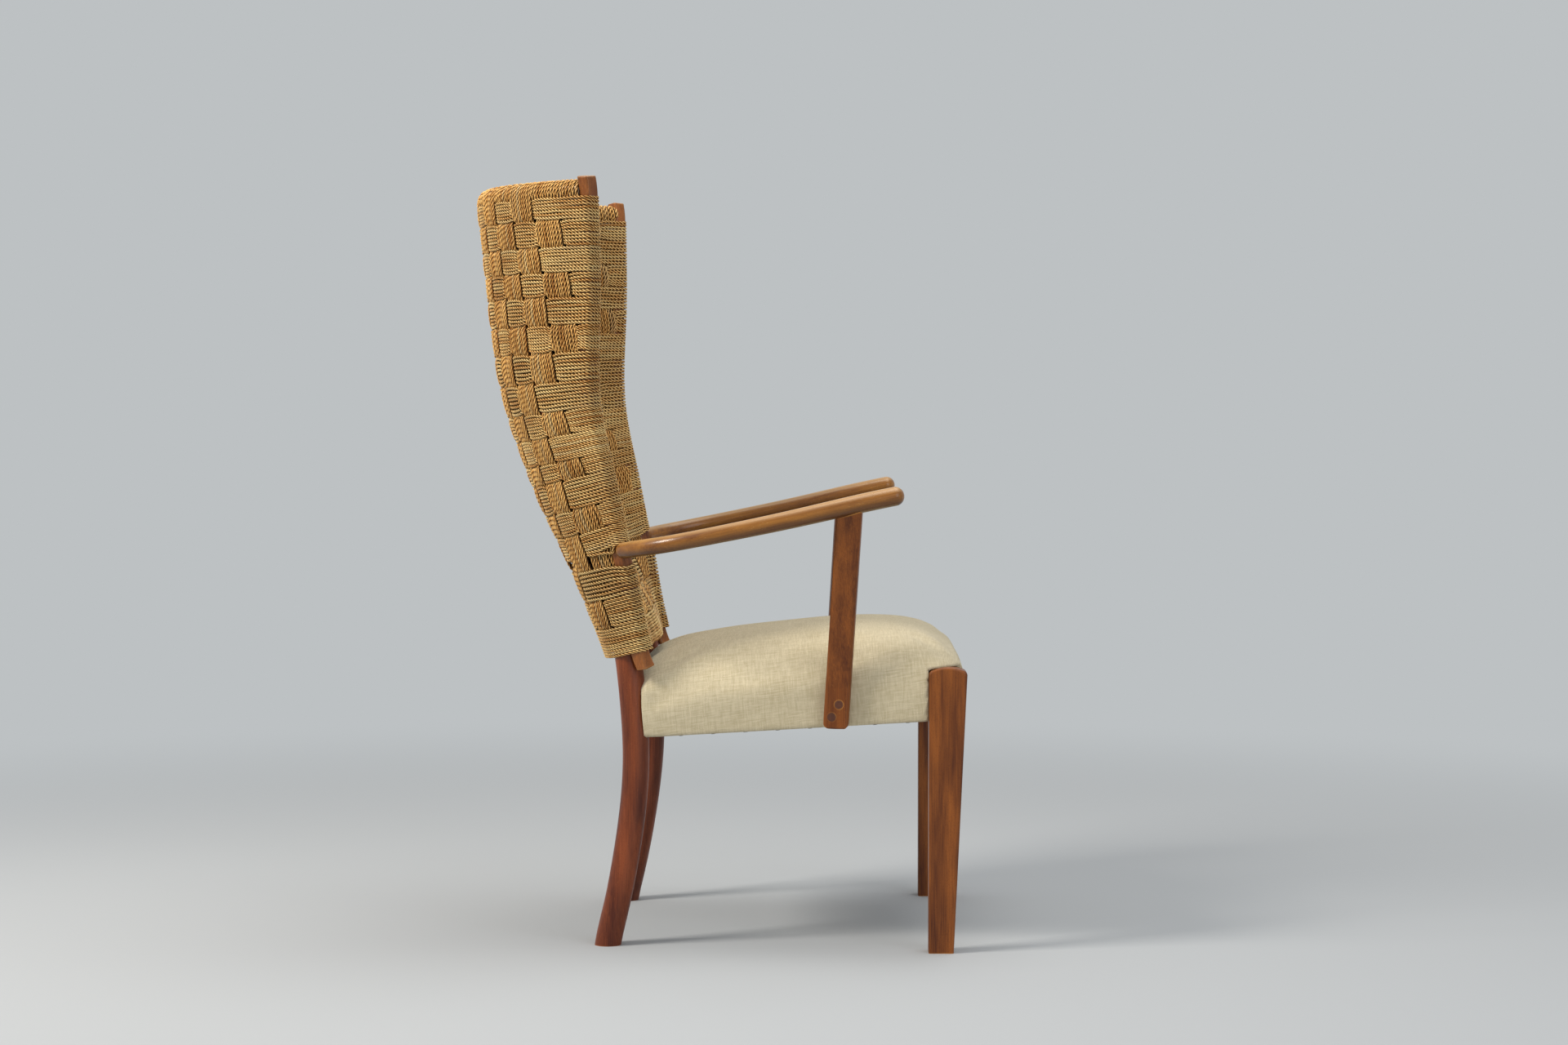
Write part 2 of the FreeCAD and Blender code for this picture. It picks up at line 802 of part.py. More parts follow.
def cushion_ring(level, drop, draw, gap):
    """One outline of the seat's padding: its level, its drop to the rear, its share of the way in, and a gap."""
    front, rear = front_rail_y - cover_front_gap, rear_rail_y + cover_rear_gap
    half_run = (rear - front) / 2
    y0, y1 = front + half_run * draw + gap, rear - half_run * draw - gap
    front_half = (side_x(front) + cover_side_gap) * (1 - draw) - gap
    rear_half = (side_x(rear) + cover_side_gap) * (1 - draw) - gap
    radius = min(rear_half, (y1 - y0) / 2) * between(*crown_corner_shares, math.sqrt(draw))
    z0, z1 = (level - drop * (y - front) / (rear - front) for y in (y0, y1))
    corners = [V(front_half, y0, z0), V(rear_half, y1, z1), V(-rear_half, y1, z1), V(-front_half, y0, z0)]
    arcs = []
    for i, corner in enumerate(corners):
        before, after = (corners[i - 1] - corner).normalize(), (corners[(i + 1) % 4] - corner).normalize()
        half_angle = before.getAngle(after) / 2
        bisector = (before + after).normalize()
        centre = corner + bisector * (radius / math.sin(half_angle))
        back = radius / math.tan(half_angle)
        arcs.append((corner + before * back, centre - bisector * radius, corner + after * back))
    return closed_loop(arcs)


def cushion_form(gap, bottom_level):
    """The seat's domed body, a gap inside its faces, from a level up."""
    side_top = flange_level + cover_crown * crown_side_share
    dome = cover_crown * (1 - crown_side_share) - gap
    wires = []
    for share in even_shares(cushion_sections):
        angle = share * crown_last_share * math.pi / 2
        draw = 1 - math.cos(angle) ** crown_square_shares[0]
        rise = math.sin(angle) ** crown_square_shares[1]
        wires.append(cushion_ring(level_z(side_top + dome * rise), cover_rear_drop * rise, draw, gap))
    cap = Part.makeLoft(wires, True, False)
    foot = [
        cushion_ring(level_z(bottom_level), 0, foot_draw_share, gap),
        cushion_ring(level_z(between(bottom_level, side_top, crown_side_share)), 0, 0, gap),
        cushion_ring(level_z(side_top), 0, 0, gap),
    ]
    return cap.fuse(Part.makeLoft(foot, True, True))


def notches(gap):
    """The spaces round the front legs and rear posts on both sides."""
    shapes = []
    for notch in (leg_notch(leg_notch_gap + gap), post_notch(gap)):
        shapes += [notch, mirrored(notch)]
    return shapes


def post_notch(gap):
    """The space that the padding leaves round the left rear post, leaning with it, grown by a gap."""
    inner = post_half - post_radius - cover_notch_gap - gap
    reach = 4 * post_radius
    low, high = (seat_height(post_waist_y, level) for level in (-overrun, cover_crown + overrun))
    outlines = []
    for share in even_shares(post_notch_sections):
        z = between(low, high, share)
        edge = at_height(post_curve, z).y - post_radius - leg_notch_gap - gap
        corners = [(inner, edge), (inner + reach, edge), (inner + reach, edge + reach), (inner, edge + reach)]
        outlines.append(Part.makePolygon([V(x, y, z) for x, y in corners + corners[:1]]))
    return Part.makeLoft(outlines, True, True)


def leg_notch(gap):
    """The space that the padding leaves round the left front leg, grown by a gap."""
    inner, rear = leg_outer_half - leg_top_width - gap, leg_rear_y + gap
    reach = 2 * leg_top_depth
    beside = box(inner, inner + reach, rear - reach, rear, 0, leg_height - leg_dome_rise)
    return beside.fuse(front_leg_form(gap))


def padding_form(gap, bottom_level):
    """The seat's padded body on its slope, notched round the legs and posts, a gap inside its faces."""
    return cut_by(tilted(cushion_form(gap, bottom_level)), notches(gap))


def hessian_dome(drop):
    """The dome of hessian over the springs, standing on the rails' tops, with its faces moved in by a drop."""
    wires = []
    for rise, run in hessian_shares:
        outline = frame_outline(hessian_margin + rail_thickness + hessian_slope_run * run + drop)
        level = level_z(rail_top_level + (hessian_rise + hessian_thickness - drop) * rise)
        wires.append(Part.makePolygon([V(x, y, level) for x, y in outline + outline[:1]]))
    return tilted(Part.makeLoft(wires, True, True))


def hessian_flange():
    """The flat rim by which the hessian is fixed on the rails."""
    low = level_z(rail_top_level)
    return tilted(prism(frame_outline(hessian_margin), low, low + hessian_thickness))


def tack(x, y):
    """One tack from below at a place under the seat."""
    low, face, point = (V(x, y, level_z(level)) for level in (-tack_head_height, 0, tack_length))
    return tilted(rod(low, point, tack_shank_radius).fuse(rod(low, face, tack_head_radius)).removeSplitter())


def tacks():
    """The row of tacks round the seat's underside."""
    outline = frame_outline(tack_margin)
    group = []
    for i, start in enumerate(outline):
        start, end = V(*start, 0), V(*outline[(i + 1) % 4], 0)
        run = (end - start).Length - 2 * tack_corner_gap
        way = (end - start).normalize()
        for share in even_shares(int(run / tack_pitch) + 1):
            place = start + way * (tack_corner_gap + run * share)
            group.append(tack(place.x, place.y))
    return group


# Arms


def arm_spine():
    """The centre line of the left arm, from the stile to the front."""
    start = at_height(stile_curve, arm_rear_z) + stile_across * arm_rear_ahead + stile_out * arm_rear_out
    points = []
    for length_share, bow_share, rise_share in arm_path_shares:
        x, y = between(start.x, arm_bow_half, bow_share), between(start.y, arm_front_y, length_share)
        points.append(V(x, y, between(arm_rear_z, arm_front_z, rise_share)))
    return spine(points)


arm_curve = arm_spine()


def arm_size(point):
    """The arm's width and height at a point of its centre line."""
    start_y = arm_curve.value(arm_curve.FirstParameter).y
    share = at_share(arm_girth_shares, (point.y - start_y) / (arm_front_y - start_y))
    return between(arm_rear_width, arm_front_width, share), between(arm_rear_height, arm_front_height, share)


def arm_across(along):
    """The level direction square to the arm."""
    return along.cross(V(0, 0, 1)).normalize()


def arm_form():
    """The left arm with its rounded ends."""
    bar = swept(arm_curve, arm_sections, lambda point: oval(*arm_size(point)), arm_across)
    for parameter, way in ((arm_curve.FirstParameter, -1), (arm_curve.LastParameter, 1)):
        point, along = arm_curve.value(parameter), arm_curve.tangent(parameter)[0] * way
        width, height = arm_size(point)
        half_ball = Part.makeSphere(1, V(0, 0, 0), V(0, 0, 1), 0, 90, 360)
        nose = stretched(half_ball, width / 2, height / 2, arm_nose_length)
        bar = bar.fuse(placed(nose, point, arm_across(along), along))
    return bar


def arm_dowel():
    """The dowel that holds the left arm's rear end to the stile."""
    start = arm_curve.value(arm_curve.FirstParameter)
    way = (at_height(stile_curve, arm_rear_z) - start).normalize()
    return rod(start - way * dowel_radius, start - way * dowel_radius + way * dowel_length, dowel_radius)


# Arm posts


def arm_over_post():
    """The point of the arm's centre line over the left arm post."""
    return arm_curve.value(where(arm_curve, lambda point: -point.y, -arm_post_top_y))


def arm_post_section(z):
    """The arm post's level outline at a height."""
    top = arm_over_post()
    y = between(arm_post_bottom_y, arm_post_top_y, (z - arm_post_bottom_z) / (top.z - arm_post_bottom_z))
    x = side_x(y) + (cover_side_gap + arm_post_gap + arm_post_thickness / 2) / math.cos(side_slope)
    if z > arm_post_bend_z:
        x = between(x, top.x, (z - arm_post_bend_z) / (top.z - arm_post_bend_z))
    section = rounded_rectangle(arm_post_thickness, arm_post_width, arm_post_corner_round)
    return placed(section, V(x, y, z), side_normal, V(0, 0, 1))


def arm_post_form():
    """The left arm post, run up into the arm, with its lower end eased."""
    half_bend = arm_post_bend_length / 2
    levels = [arm_post_bottom_z, arm_post_bend_z - half_bend, arm_post_bend_z + half_bend, arm_over_post().z]
    bar = Part.makeLoft([arm_post_section(z) for z in levels], True, True)
    foot = [edge for edge in bar.Edges if edge.BoundBox.ZMax < arm_post_bottom_z + clearance]
    return bar.makeFillet(arm_post_end_round, foot).cut(arm_post_foot_corners())


def arm_post_foot_corners():
    """What is cut away to round the two corners of the left arm post's foot."""
    r, half_t, half_w = arm_post_foot_round, arm_post_thickness, arm_post_width / 2
    corners = box(-half_t, half_t, -half_w - overrun, half_w + overrun, -overrun, r)
    corners = corners.cut(box(-half_t, half_t, r - half_w, half_w - r, 0, r))
    for y in (r - half_w, half_w - r):
        corners = corners.cut(rod(V(-half_t, y, r), V(half_t, y, r), r))
    lean = math.atan((arm_post_bottom_y - arm_post_top_y) / (arm_over_post().z - arm_post_bottom_z))
    corners.rotate(V(0, 0, 0), V(1, 0, 0), math.degrees(lean))
    corners.rotate(V(0, 0, 0), V(0, 0, 1), math.degrees(side_slope))
    bottom = arm_post_section(arm_post_bottom_z).BoundBox.Center
    corners.translate(bottom)
    return corners


def arm_tenon(gap):
    """The tenon on the left arm post's top."""
    top = arm_over_post()
    under = top.z - arm_size(top)[1] / 2
    half_t, half_w = arm_tenon_thickness / 2 + gap, arm_tenon_width / 2 + gap
    tenon = box(-half_t, half_t, -half_w, half_w, under - overrun, under + arm_tenon_length + gap)
    tenon.rotate(V(0, 0, 0), V(0, 0, 1), math.degrees(side_slope))
    tenon.translate(V(top.x, top.y, 0))
    return tenon


def arm_post_fixings():
    """The left arm post's two screws and the two wood plugs over them."""
    screws, plugs = [], []
    for y, z in ((upper_screw_y, upper_screw_z), (lower_screw_y, lower_screw_z)):
        face = V(side_x(y), y, z) + side_normal * (cover_side_gap + arm_post_gap + arm_post_thickness)
        head = face - side_normal * plug_depth
        screws.append(screw(head, side_normal * -1, arm_screw_length))
        plugs.append(rod(head, face, plug_radius))
    return screws, plugs


def rail_screw():
    """The screw through the back's bottom rail into the left rear post."""
    post = at_height(post_curve, bottom_rail_z)
    lean = math.radians(bottom_rail_lean)
    way = V(0, math.cos(lean), -math.sin(lean))
    middle = V(post.x, at_height(stile_curve, bottom_rail_z).y + bottom_rail_setback, bottom_rail_z)
    return screw(middle - way * (bottom_rail_thickness / 2), way, rail_screw_length)


def back_pieces(forms):
    """The back's rails and its weave, in the middle of the chair."""
    stile_bar, post_bar, screw_left, seat = forms["stile"], forms["post"], rail_screw(), stile_seat()
    post_top, rails = post_tenon(clearance), []
    for form, (z, way) in zip((top_rail_form(), bottom_rail_form(0)), back_joints()):
        bar, tenon = cut_by(form, (seat, mirrored(seat))), back_tenon(z, way, 0)
        rails.append(main_solid(bar).fuse(tenon).fuse(mirrored(tenon)).removeSplitter())
    weave = weave_form(0).cut(weave_form(weave_layer))
    bare = stile_form(stile_wrap + clearance).common(slab(weave_edge_top_z, 2 * weave_top_z))
    for tool in (stile_bar, post_bar, bare, forms["arm"], arm_dowel(), screw_left):
        weave = weave.cut(tool).cut(mirrored(tool))
    return {
        "back_top_rail": cut_by(rails[0], (post_top, mirrored(post_top))),
        "back_bottom_rail": cut_by(rails[1], (screw_left, mirrored(screw_left))),
        "back_rail_screws": both(screw_left),
        "back_weave": main_solid(weave),
    }


def back_joints():
    """The height and direction of the top and bottom rails' tenons."""
    return ((top_rail_top_z + top_rail_bottom_z) / 2, stile_across), (bottom_rail_z, V(1, 0, 0))


def left_pieces(forms):
    """The pieces that the chair has once on each side, as its left-hand ones."""
    mortises = rail_tenons(clearance)
    tenons = rail_tenons(0)
    fixings = Part.Compound(arm_post_fixings()[0])
    plugs = Part.Compound(arm_post_fixings()[1])
    block_screws = (block_screw(front_rail_y + rail_thickness, 1), block_screw(rear_rail_y - rail_thickness, -1))
    post = forms["post"].fuse(post_tenon(0))
    post = cut_by(post, (mortises[1], mortises[3], bottom_rail_form(clearance), rail_screw(), block_screws[1]))
    bar = cut_by(forms["stile_eased"], [back_tenon(z, way, clearance) for z, way in back_joints()] + [arm_dowel()])
    leg = cut_by(front_leg(), (mortises[0], mortises[2], block_screws[0]))
    rail = main_solid(cut_by(side_rail_form(), (forms["leg"], forms["post"]))).fuse(tenons[0]).fuse(tenons[1])
    arm = main_solid(forms["arm"].cut(forms["stile"]))
    arm_post = main_solid(arm_post_form().cut(forms["arm"])).fuse(arm_tenon(0))
    return {
        "rear_post": main_solid(post),
        "back_stile": main_solid(bar),
        "front_leg": main_solid(leg),
        "seat_rail_side": cut_by(rail.removeSplitter(), (fixings, forms["tacks"])),
        "arm_rest": cut_by(arm, (arm_tenon(clearance), arm_dowel())),
        "arm_post": cut_by(arm_post, (fixings, plugs)),
    }


def seat_pieces(forms):
    """The seat's cross rails, blocks, springing and upholstery."""
    front_bar = cross_rail_form(front_rail_y, leg_outer_half - leg_top_width / 2)
    rear_bar = cross_rail_form(rear_rail_y - rail_thickness, post_half - rail_thickness / 2)
    legs, posts = both(forms["leg"]), both(forms["post"])
    tenons = rail_tenons(0)
    rails = []
    for bar, tool, tenon in ((front_bar, legs, tenons[2]), (rear_bar, posts, tenons[3])):
        rail = main_solid(bar.cut(tool)).fuse(tenon).fuse(mirrored(tenon)).removeSplitter()
        rails.append(rail.cut(forms["tacks"]))
    blocks, screws = [], []
    for y, way in ((front_rail_y + rail_thickness, 1), (rear_rail_y - rail_thickness, -1)):
        screws.append(block_screw(y, way))
        guards = front_leg_form(clearance), forms["post"], screws[-1]
        blocks.append(main_solid(cut_by(corner_block(y, way), guards)))
    frame = tilted(prism(frame_outline(0), level_z(web_level), level_z(rail_top_level)))
    opening = prism(frame_outline(cover_turn_under), level_z(-overrun), level_z(web_level + overrun))
    dust = prism(frame_outline(dust_cover_margin), level_z(0), level_z(dust_cover_thickness))
    dome = hessian_dome(0).fuse(hessian_flange())
    inner = padding_form(cover_thickness, web_level)
    fixings = both(Part.Compound(arm_post_fixings()[0]))
    bars = both(forms["side_rail"])
    cover = cut_by(padding_form(0, flange_level), (inner, tilted(opening), frame, bars, fixings, forms["tacks"]))
    stuffing = cut_by(inner, (frame, dome, fixings))
    return {
        "seat_rail_front": rails[0],
        "seat_rail_rear": rails[1],
        "seat_corner_blocks": Part.Compound(blocks + [mirrored(block) for block in blocks]),
        "seat_block_screws": Part.Compound(screws + [mirrored(one) for one in screws]),
        "seat_webbing": Part.Compound([strap.cut(forms["tacks"]) for strap in webbing()]),
        "seat_springs": Part.Compound(springs()),
        "seat_hessian": main_solid(cut_by(dome, notches(cover_thickness) + [hessian_dome(hessian_thickness)])),
        "seat_stuffing": main_solid(stuffing),
        "seat_cover": main_solid(cover),
        "seat_dust_cover": main_solid(cut_by(tilted(dust), notches(0) + [forms["tacks"]])),
        "seat_tacks": forms["tacks"],
    }


def main():
    """Builds every piece and writes one file for each."""
    forms = {
        "stile": stile_form(0),
        "stile_eased": stile(),
        "post": post_form(),
        "leg": front_leg_form(0),
        "arm": arm_form(),
        "side_rail": side_rail_form(),
        "tacks": Part.Compound(tacks()),
    }
    pieces = back_pieces(forms)
    pieces.update(seat_pieces(forms))
    for name, shape in left_pieces(forms).items():
        pieces[name + "_left"] = shape
        pieces[name + "_right"] = mirrored(shape)
    screws, plugs = arm_post_fixings()
    pieces["arm_post_screws"] = both(Part.Compound(screws))
    pieces["arm_post_plugs"] = both(Part.Compound(plugs))
    pieces["arm_dowels"] = both(arm_dowel())
    os.makedirs("parts", exist_ok=True)
    for name, shape in sorted(pieces.items()):
        shape.exportStep("parts/" + name + ".step")
        print(f"{name}: {len(shape.Solids)} solids, {shape.Volume / 1000:.1f} cm3, valid {shape.isValid()}")


main()
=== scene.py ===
"""The looks of an easy chair with a curved back woven in seagrass cord, built round its solid model."""

import json
import logging
import math
from dataclasses import dataclass
from enum import Enum

import bpy
import numpy as np
from mathutils import Matrix, Vector
from mathutils.kdtree import KDTree

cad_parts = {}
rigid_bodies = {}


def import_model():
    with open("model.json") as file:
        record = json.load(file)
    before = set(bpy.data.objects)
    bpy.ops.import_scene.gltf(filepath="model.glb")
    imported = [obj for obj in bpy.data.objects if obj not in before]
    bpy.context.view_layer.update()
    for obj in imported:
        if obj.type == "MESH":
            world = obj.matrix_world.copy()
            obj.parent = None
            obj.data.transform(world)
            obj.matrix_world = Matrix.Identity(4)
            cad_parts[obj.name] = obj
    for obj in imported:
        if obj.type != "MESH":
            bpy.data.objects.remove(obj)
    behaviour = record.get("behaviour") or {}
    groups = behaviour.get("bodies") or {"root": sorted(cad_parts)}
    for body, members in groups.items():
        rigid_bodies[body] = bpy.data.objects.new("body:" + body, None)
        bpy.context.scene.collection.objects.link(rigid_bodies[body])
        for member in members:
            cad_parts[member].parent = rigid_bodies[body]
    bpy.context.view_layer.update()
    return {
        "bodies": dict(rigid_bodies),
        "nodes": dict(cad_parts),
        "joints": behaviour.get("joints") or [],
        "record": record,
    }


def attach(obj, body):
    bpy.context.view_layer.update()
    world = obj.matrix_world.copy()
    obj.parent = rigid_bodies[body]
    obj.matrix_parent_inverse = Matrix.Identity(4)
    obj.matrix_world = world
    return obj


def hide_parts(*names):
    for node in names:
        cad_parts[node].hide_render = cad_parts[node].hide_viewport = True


log = logging.getLogger("easy_chair")

BODY = "root"
MM = 0.001


class Grain(Enum):
    """The way the grain of a piece of wood runs."""

    UPRIGHT = (1.0, 1.0, 0.0)
    ALONG_ARM = (1.0, 0.0, 1.0)
    ACROSS = (0.0, 1.0, 1.0)


class Side(Enum):
    """The two faces of the woven back."""

    REAR = 1
    FRONT = -1


class Tone(Enum):
    """The two tones of cord: the level ones have bleached, the upright ones stayed darker."""

    LEVEL = ("#e69c3e", "#ffdf98", "#905010")
    UPRIGHT = ("#d28830", "#fdcb7c", "#7d410b")


# Colours and nodes


def linear(code: str) -> tuple[float, float, float, float]:
    """Turns an sRGB hex colour into linear light.

    Args:
        code: the colour as #rrggbb.

    Returns:
        Red, green, blue and full alpha.
    """
    parts = [int(code[i:i + 2], 16) / 255 for i in (1, 3, 5)]
    red, green, blue = (c / 12.92 if c <= 0.04045 else ((c + 0.055) / 1.055) ** 2.4 for c in parts)
    return red, green, blue, 1.0


def add_node(tree: bpy.types.NodeTree, kind: str, inputs: dict | None = None,
             **settings: object) -> bpy.types.Node:
    """Adds one shader node.

    Args:
        tree: the material's nodes.
        kind: the node's type without its common prefix.
        inputs: for each input's name or place, a value or the socket that feeds it.
        settings: the node's own settings.

    Returns:
        The new node.
    """
    node = tree.nodes.new("ShaderNode" + kind)
    for name, value in settings.items():
        setattr(node, name, value)
    for key, value in (inputs or {}).items():
        if isinstance(value, bpy.types.NodeSocket):
            tree.links.new(value, node.inputs[key])
        else:
            node.inputs[key].default_value = value
    return node


def maths(tree: bpy.types.NodeTree, operation: str, *values: object,
          clamp: bool = False) -> bpy.types.NodeSocket:
    """Adds one step of arithmetic.

    Args:
        tree: the nodes to add to.
        operation: which step.
        values: what it works on, numbers or sockets.
        clamp: True to keep the result from 0 to 1.

    Returns:
        The result's socket.
    """
    return add_node(tree, "Math", dict(enumerate(values)), operation=operation, use_clamp=clamp).outputs[0]


def ramp(tree: bpy.types.NodeTree, value: object, source: tuple = (0.0, 1.0),
         target: tuple = (0.0, 1.0)) -> bpy.types.NodeSocket:
    """Maps a value from one span to another, held at both ends.

    Args:
        tree: the nodes to add to.
        value: the value's socket.
        source: the span it comes from.
        target: the span it goes to.

    Returns:
        The mapped value's socket.
    """
    return add_node(tree, "MapRange", dict(enumerate((value, *source, *target)))).outputs[0]


def blend(tree: bpy.types.NodeTree, share: object, first: object, second: object) -> bpy.types.NodeSocket:
    """Mixes two colours, the second by a share.

    Args:
        tree: the nodes to add to.
        share: the share.
        first: the first colour.
        second: the second colour.

    Returns:
        The mixed colour's socket.
    """
    return add_node(tree, "Mix", {0: share, 6: first, 7: second}, data_type="RGBA").outputs[2]


@dataclass(frozen=True)
class Finish:
    """A surface finish: its material's name and its gloss."""

    name: str
    roughness: float = 0.5

    def material(self) -> bpy.types.Material:
        """Makes the material, or gives the one already made.

        Returns:
            The material, with its nodes.
        """
        made = bpy.data.materials.get(self.name)
        if made is None:
            made = bpy.data.materials.new(self.name)
            made.use_nodes = True
            tree = made.node_tree
            self.paint(tree, tree.nodes["Principled BSDF"])
        return made

    def paint(self, tree: bpy.types.NodeTree, shader: bpy.types.Node) -> None:
        """Adds the finish's nodes in front of the shader.

        Args:
            tree: the material's nodes.
            shader: the material's shader.
        """
        raise NotImplementedError


@dataclass(frozen=True)
class StainedBeech(Finish):
    """Beech, sawn or steam bent, stained and lacquered. The eye sees short dark flecks, soft streaks along
    the grain, a satin shine, and edges worn pale by use. The pale edges and tops also carry a painted
    highlight and sheen, and the undersides a painted shade."""

    dark: str = "#4a2312"
    light: str = "#7c4526"
    # The colour of the dark flecks also serves as painted shade on undersides.
    fleck_and_shade: str = "#2c1209"
    # The pale colour serves the pale flecks, the worn edges and tops, and the painted highlight and sheen on
    # them.
    pale_fleck_wear_and_sheen: str = "#b9854e"
    grain: Grain = Grain.UPRIGHT
    rise: float = 0.0
    streak_mm: tuple[float, float] = (1.6, 60.0)
    fleck_mm: tuple[float, float] = (0.9, 4.0)
    cloud_mm: tuple[float, float] = (22.0, 160.0)
    patches_in_metre: float = 38.0
    relief_mm: float = 0.2
    edge_radius_mm: float = 3.0
    # Edge paleness is wear and painted highlight, top paleness wear and painted sheen, underside darkness
    # painted shade.
    edge_wear_and_highlight: float = 0.5
    top_wear_and_sheen: float = 0.0
    painted_shade_below: float = 0.0
    gloss: float = 0.35
    lacquer: float = 0.35
    lacquer_roughness: float = 0.18

    def spread(self, across_mm: float, along_mm: float) -> tuple[float, float, float]:
        """Gives the pattern's scale on each axis.

        Args:
            across_mm: the pattern's size across the grain.
            along_mm: its size along the grain.

        Returns:
            How many patterns there are to a metre, along X, Y and Z.
        """
        across, along = 1 / (across_mm * MM), 1 / (along_mm * MM)
        return tuple(across if way else along for way in self.grain.value)

    def paint(self, tree: bpy.types.NodeTree, shader: bpy.types.Node) -> None:
        """Adds the streaks, flecks, edges worn pale with a painted highlight, tops with a painted sheen,
        undersides with a painted shade, and lacquer.

        Args:
            tree: the material's nodes.
            shader: the material's shader.
        """
        # The grain's own axes, leaned as far as the piece rises.
        place = add_node(tree, "TexCoord").outputs["Object"]
        place = add_node(tree, "VectorRotate", {"Vector": place, "Angle": math.radians(self.rise)},
                         rotation_type="X_AXIS").outputs[0]
        streaks, flecks, clouds = (
            add_node(tree, "Mapping", {0: place, 3: self.spread(across_mm, along_mm)}).outputs[0]
            for across_mm, along_mm in (self.streak_mm, self.fleck_mm, self.cloud_mm))

        # Streaks and slow clouds of lighter and darker stain.
        streak = add_node(tree, "TexNoise", {"Vector": streaks, "Scale": 1.0, "Detail": 4.0, "Roughness": 0.6,
                                             "Distortion": 0.3}).outputs["Fac"]
        cloud = add_node(tree, "TexNoise", {"Vector": clouds, "Scale": 1.0, "Detail": 3.0}).outputs["Fac"]
        mixed = add_node(tree, "Mix", {0: 0.35, 2: cloud, 3: streak}).outputs[0]
        tone = ramp(tree, mixed, (0.36, 0.64))
        shown = blend(tree, tone, linear(self.dark), linear(self.light))

        # The ray flecks, most of them dark and a few pale.
        cells = add_node(tree, "TexVoronoi", {"Vector": flecks, "Scale": 1.0, "Randomness": 1.0})
        chance = add_node(tree, "SeparateColor", {0: cells.outputs["Color"]}).outputs[0]
        for code, low, high, strength in ((self.fleck_and_shade, 0.45, 0.55, 0.5), (self.pale_fleck_wear_and_sheen, 0.95, 0.90, 0.4)):
            spot = add_node(tree, "MapRange", {0: cells.outputs["Distance"], 1: 0.14, 2: 0.32, 3: strength,
                                               4: 0.0})
            picked = ramp(tree, chance, (high, low))
            amount = maths(tree, "MULTIPLY", spot.outputs[0], picked)
            shown = blend(tree, amount, shown, linear(code))

        # Edges pale in patches, as wear and as a painted highlight; tops pale, as wear by hands and as a
        # painted sheen; undersides darkened by a painted shade.
        rounded = add_node(tree, "Bevel", {"Radius": self.edge_radius_mm * MM}, samples=6)
        true_normal = add_node(tree, "NewGeometry").outputs["Normal"]
        facing = add_node(tree, "VectorMath", {0: rounded.outputs[0], 1: true_normal},
                          operation="DOT_PRODUCT")
        edge = ramp(tree, facing.outputs["Value"], (0.995, 0.90))
        patches = add_node(tree, "TexNoise", {"Vector": place, "Scale": self.patches_in_metre,
                                              "Detail": 4.0}).outputs["Fac"]
        patchy = ramp(tree, patches, (0.40, 0.62), (0.15, 1.0))
        edge_wear_and_highlight_share = maths(tree, "MULTIPLY", edge, self.edge_wear_and_highlight)
        patchy_edge_wear_and_highlight = maths(tree, "MULTIPLY", edge_wear_and_highlight_share, patchy)
        upward = add_node(tree, "SeparateXYZ", {0: true_normal}).outputs[2]
        # Painted sheen on upward faces, besides wear.
        top_wear_and_sheen_share = ramp(tree, upward, (0.50, 1.0), (0.0, self.top_wear_and_sheen))
        share = maths(tree, "MAXIMUM", patchy_edge_wear_and_highlight, top_wear_and_sheen_share)
        # Painted shade: downward faces mixed toward the dark flecks' colour.
        below = ramp(tree, upward, (0.0, -0.8), (0.0, self.painted_shade_below))
        shown = blend(tree, below, shown, linear(self.fleck_and_shade))
        colour = add_node(tree, "Mix", {0: share, 6: shown, 7: linear(self.pale_fleck_wear_and_sheen)}, data_type="RGBA")

        # The lacquer, duller in patches.
        dulled = add_node(tree, "MapRange", {0: patches, 1: 0.3, 2: 0.7, 3: self.roughness - 0.05,
                                            4: self.roughness + 0.07})
        bump = add_node(tree, "Bump", {"Height": streak, "Strength": 0.12, "Distance": self.relief_mm * MM})
        tree.links.new(colour.outputs[2], shader.inputs["Base Color"])
        tree.links.new(dulled.outputs[0], shader.inputs["Roughness"])
        tree.links.new(bump.outputs[0], shader.inputs["Normal"])
        shader.inputs["IOR"].default_value = 1.5
        shader.inputs["Specular IOR Level"].default_value = self.gloss
        shader.inputs["Coat Weight"].default_value = self.lacquer
        shader.inputs["Coat Roughness"].default_value = self.lacquer_roughness


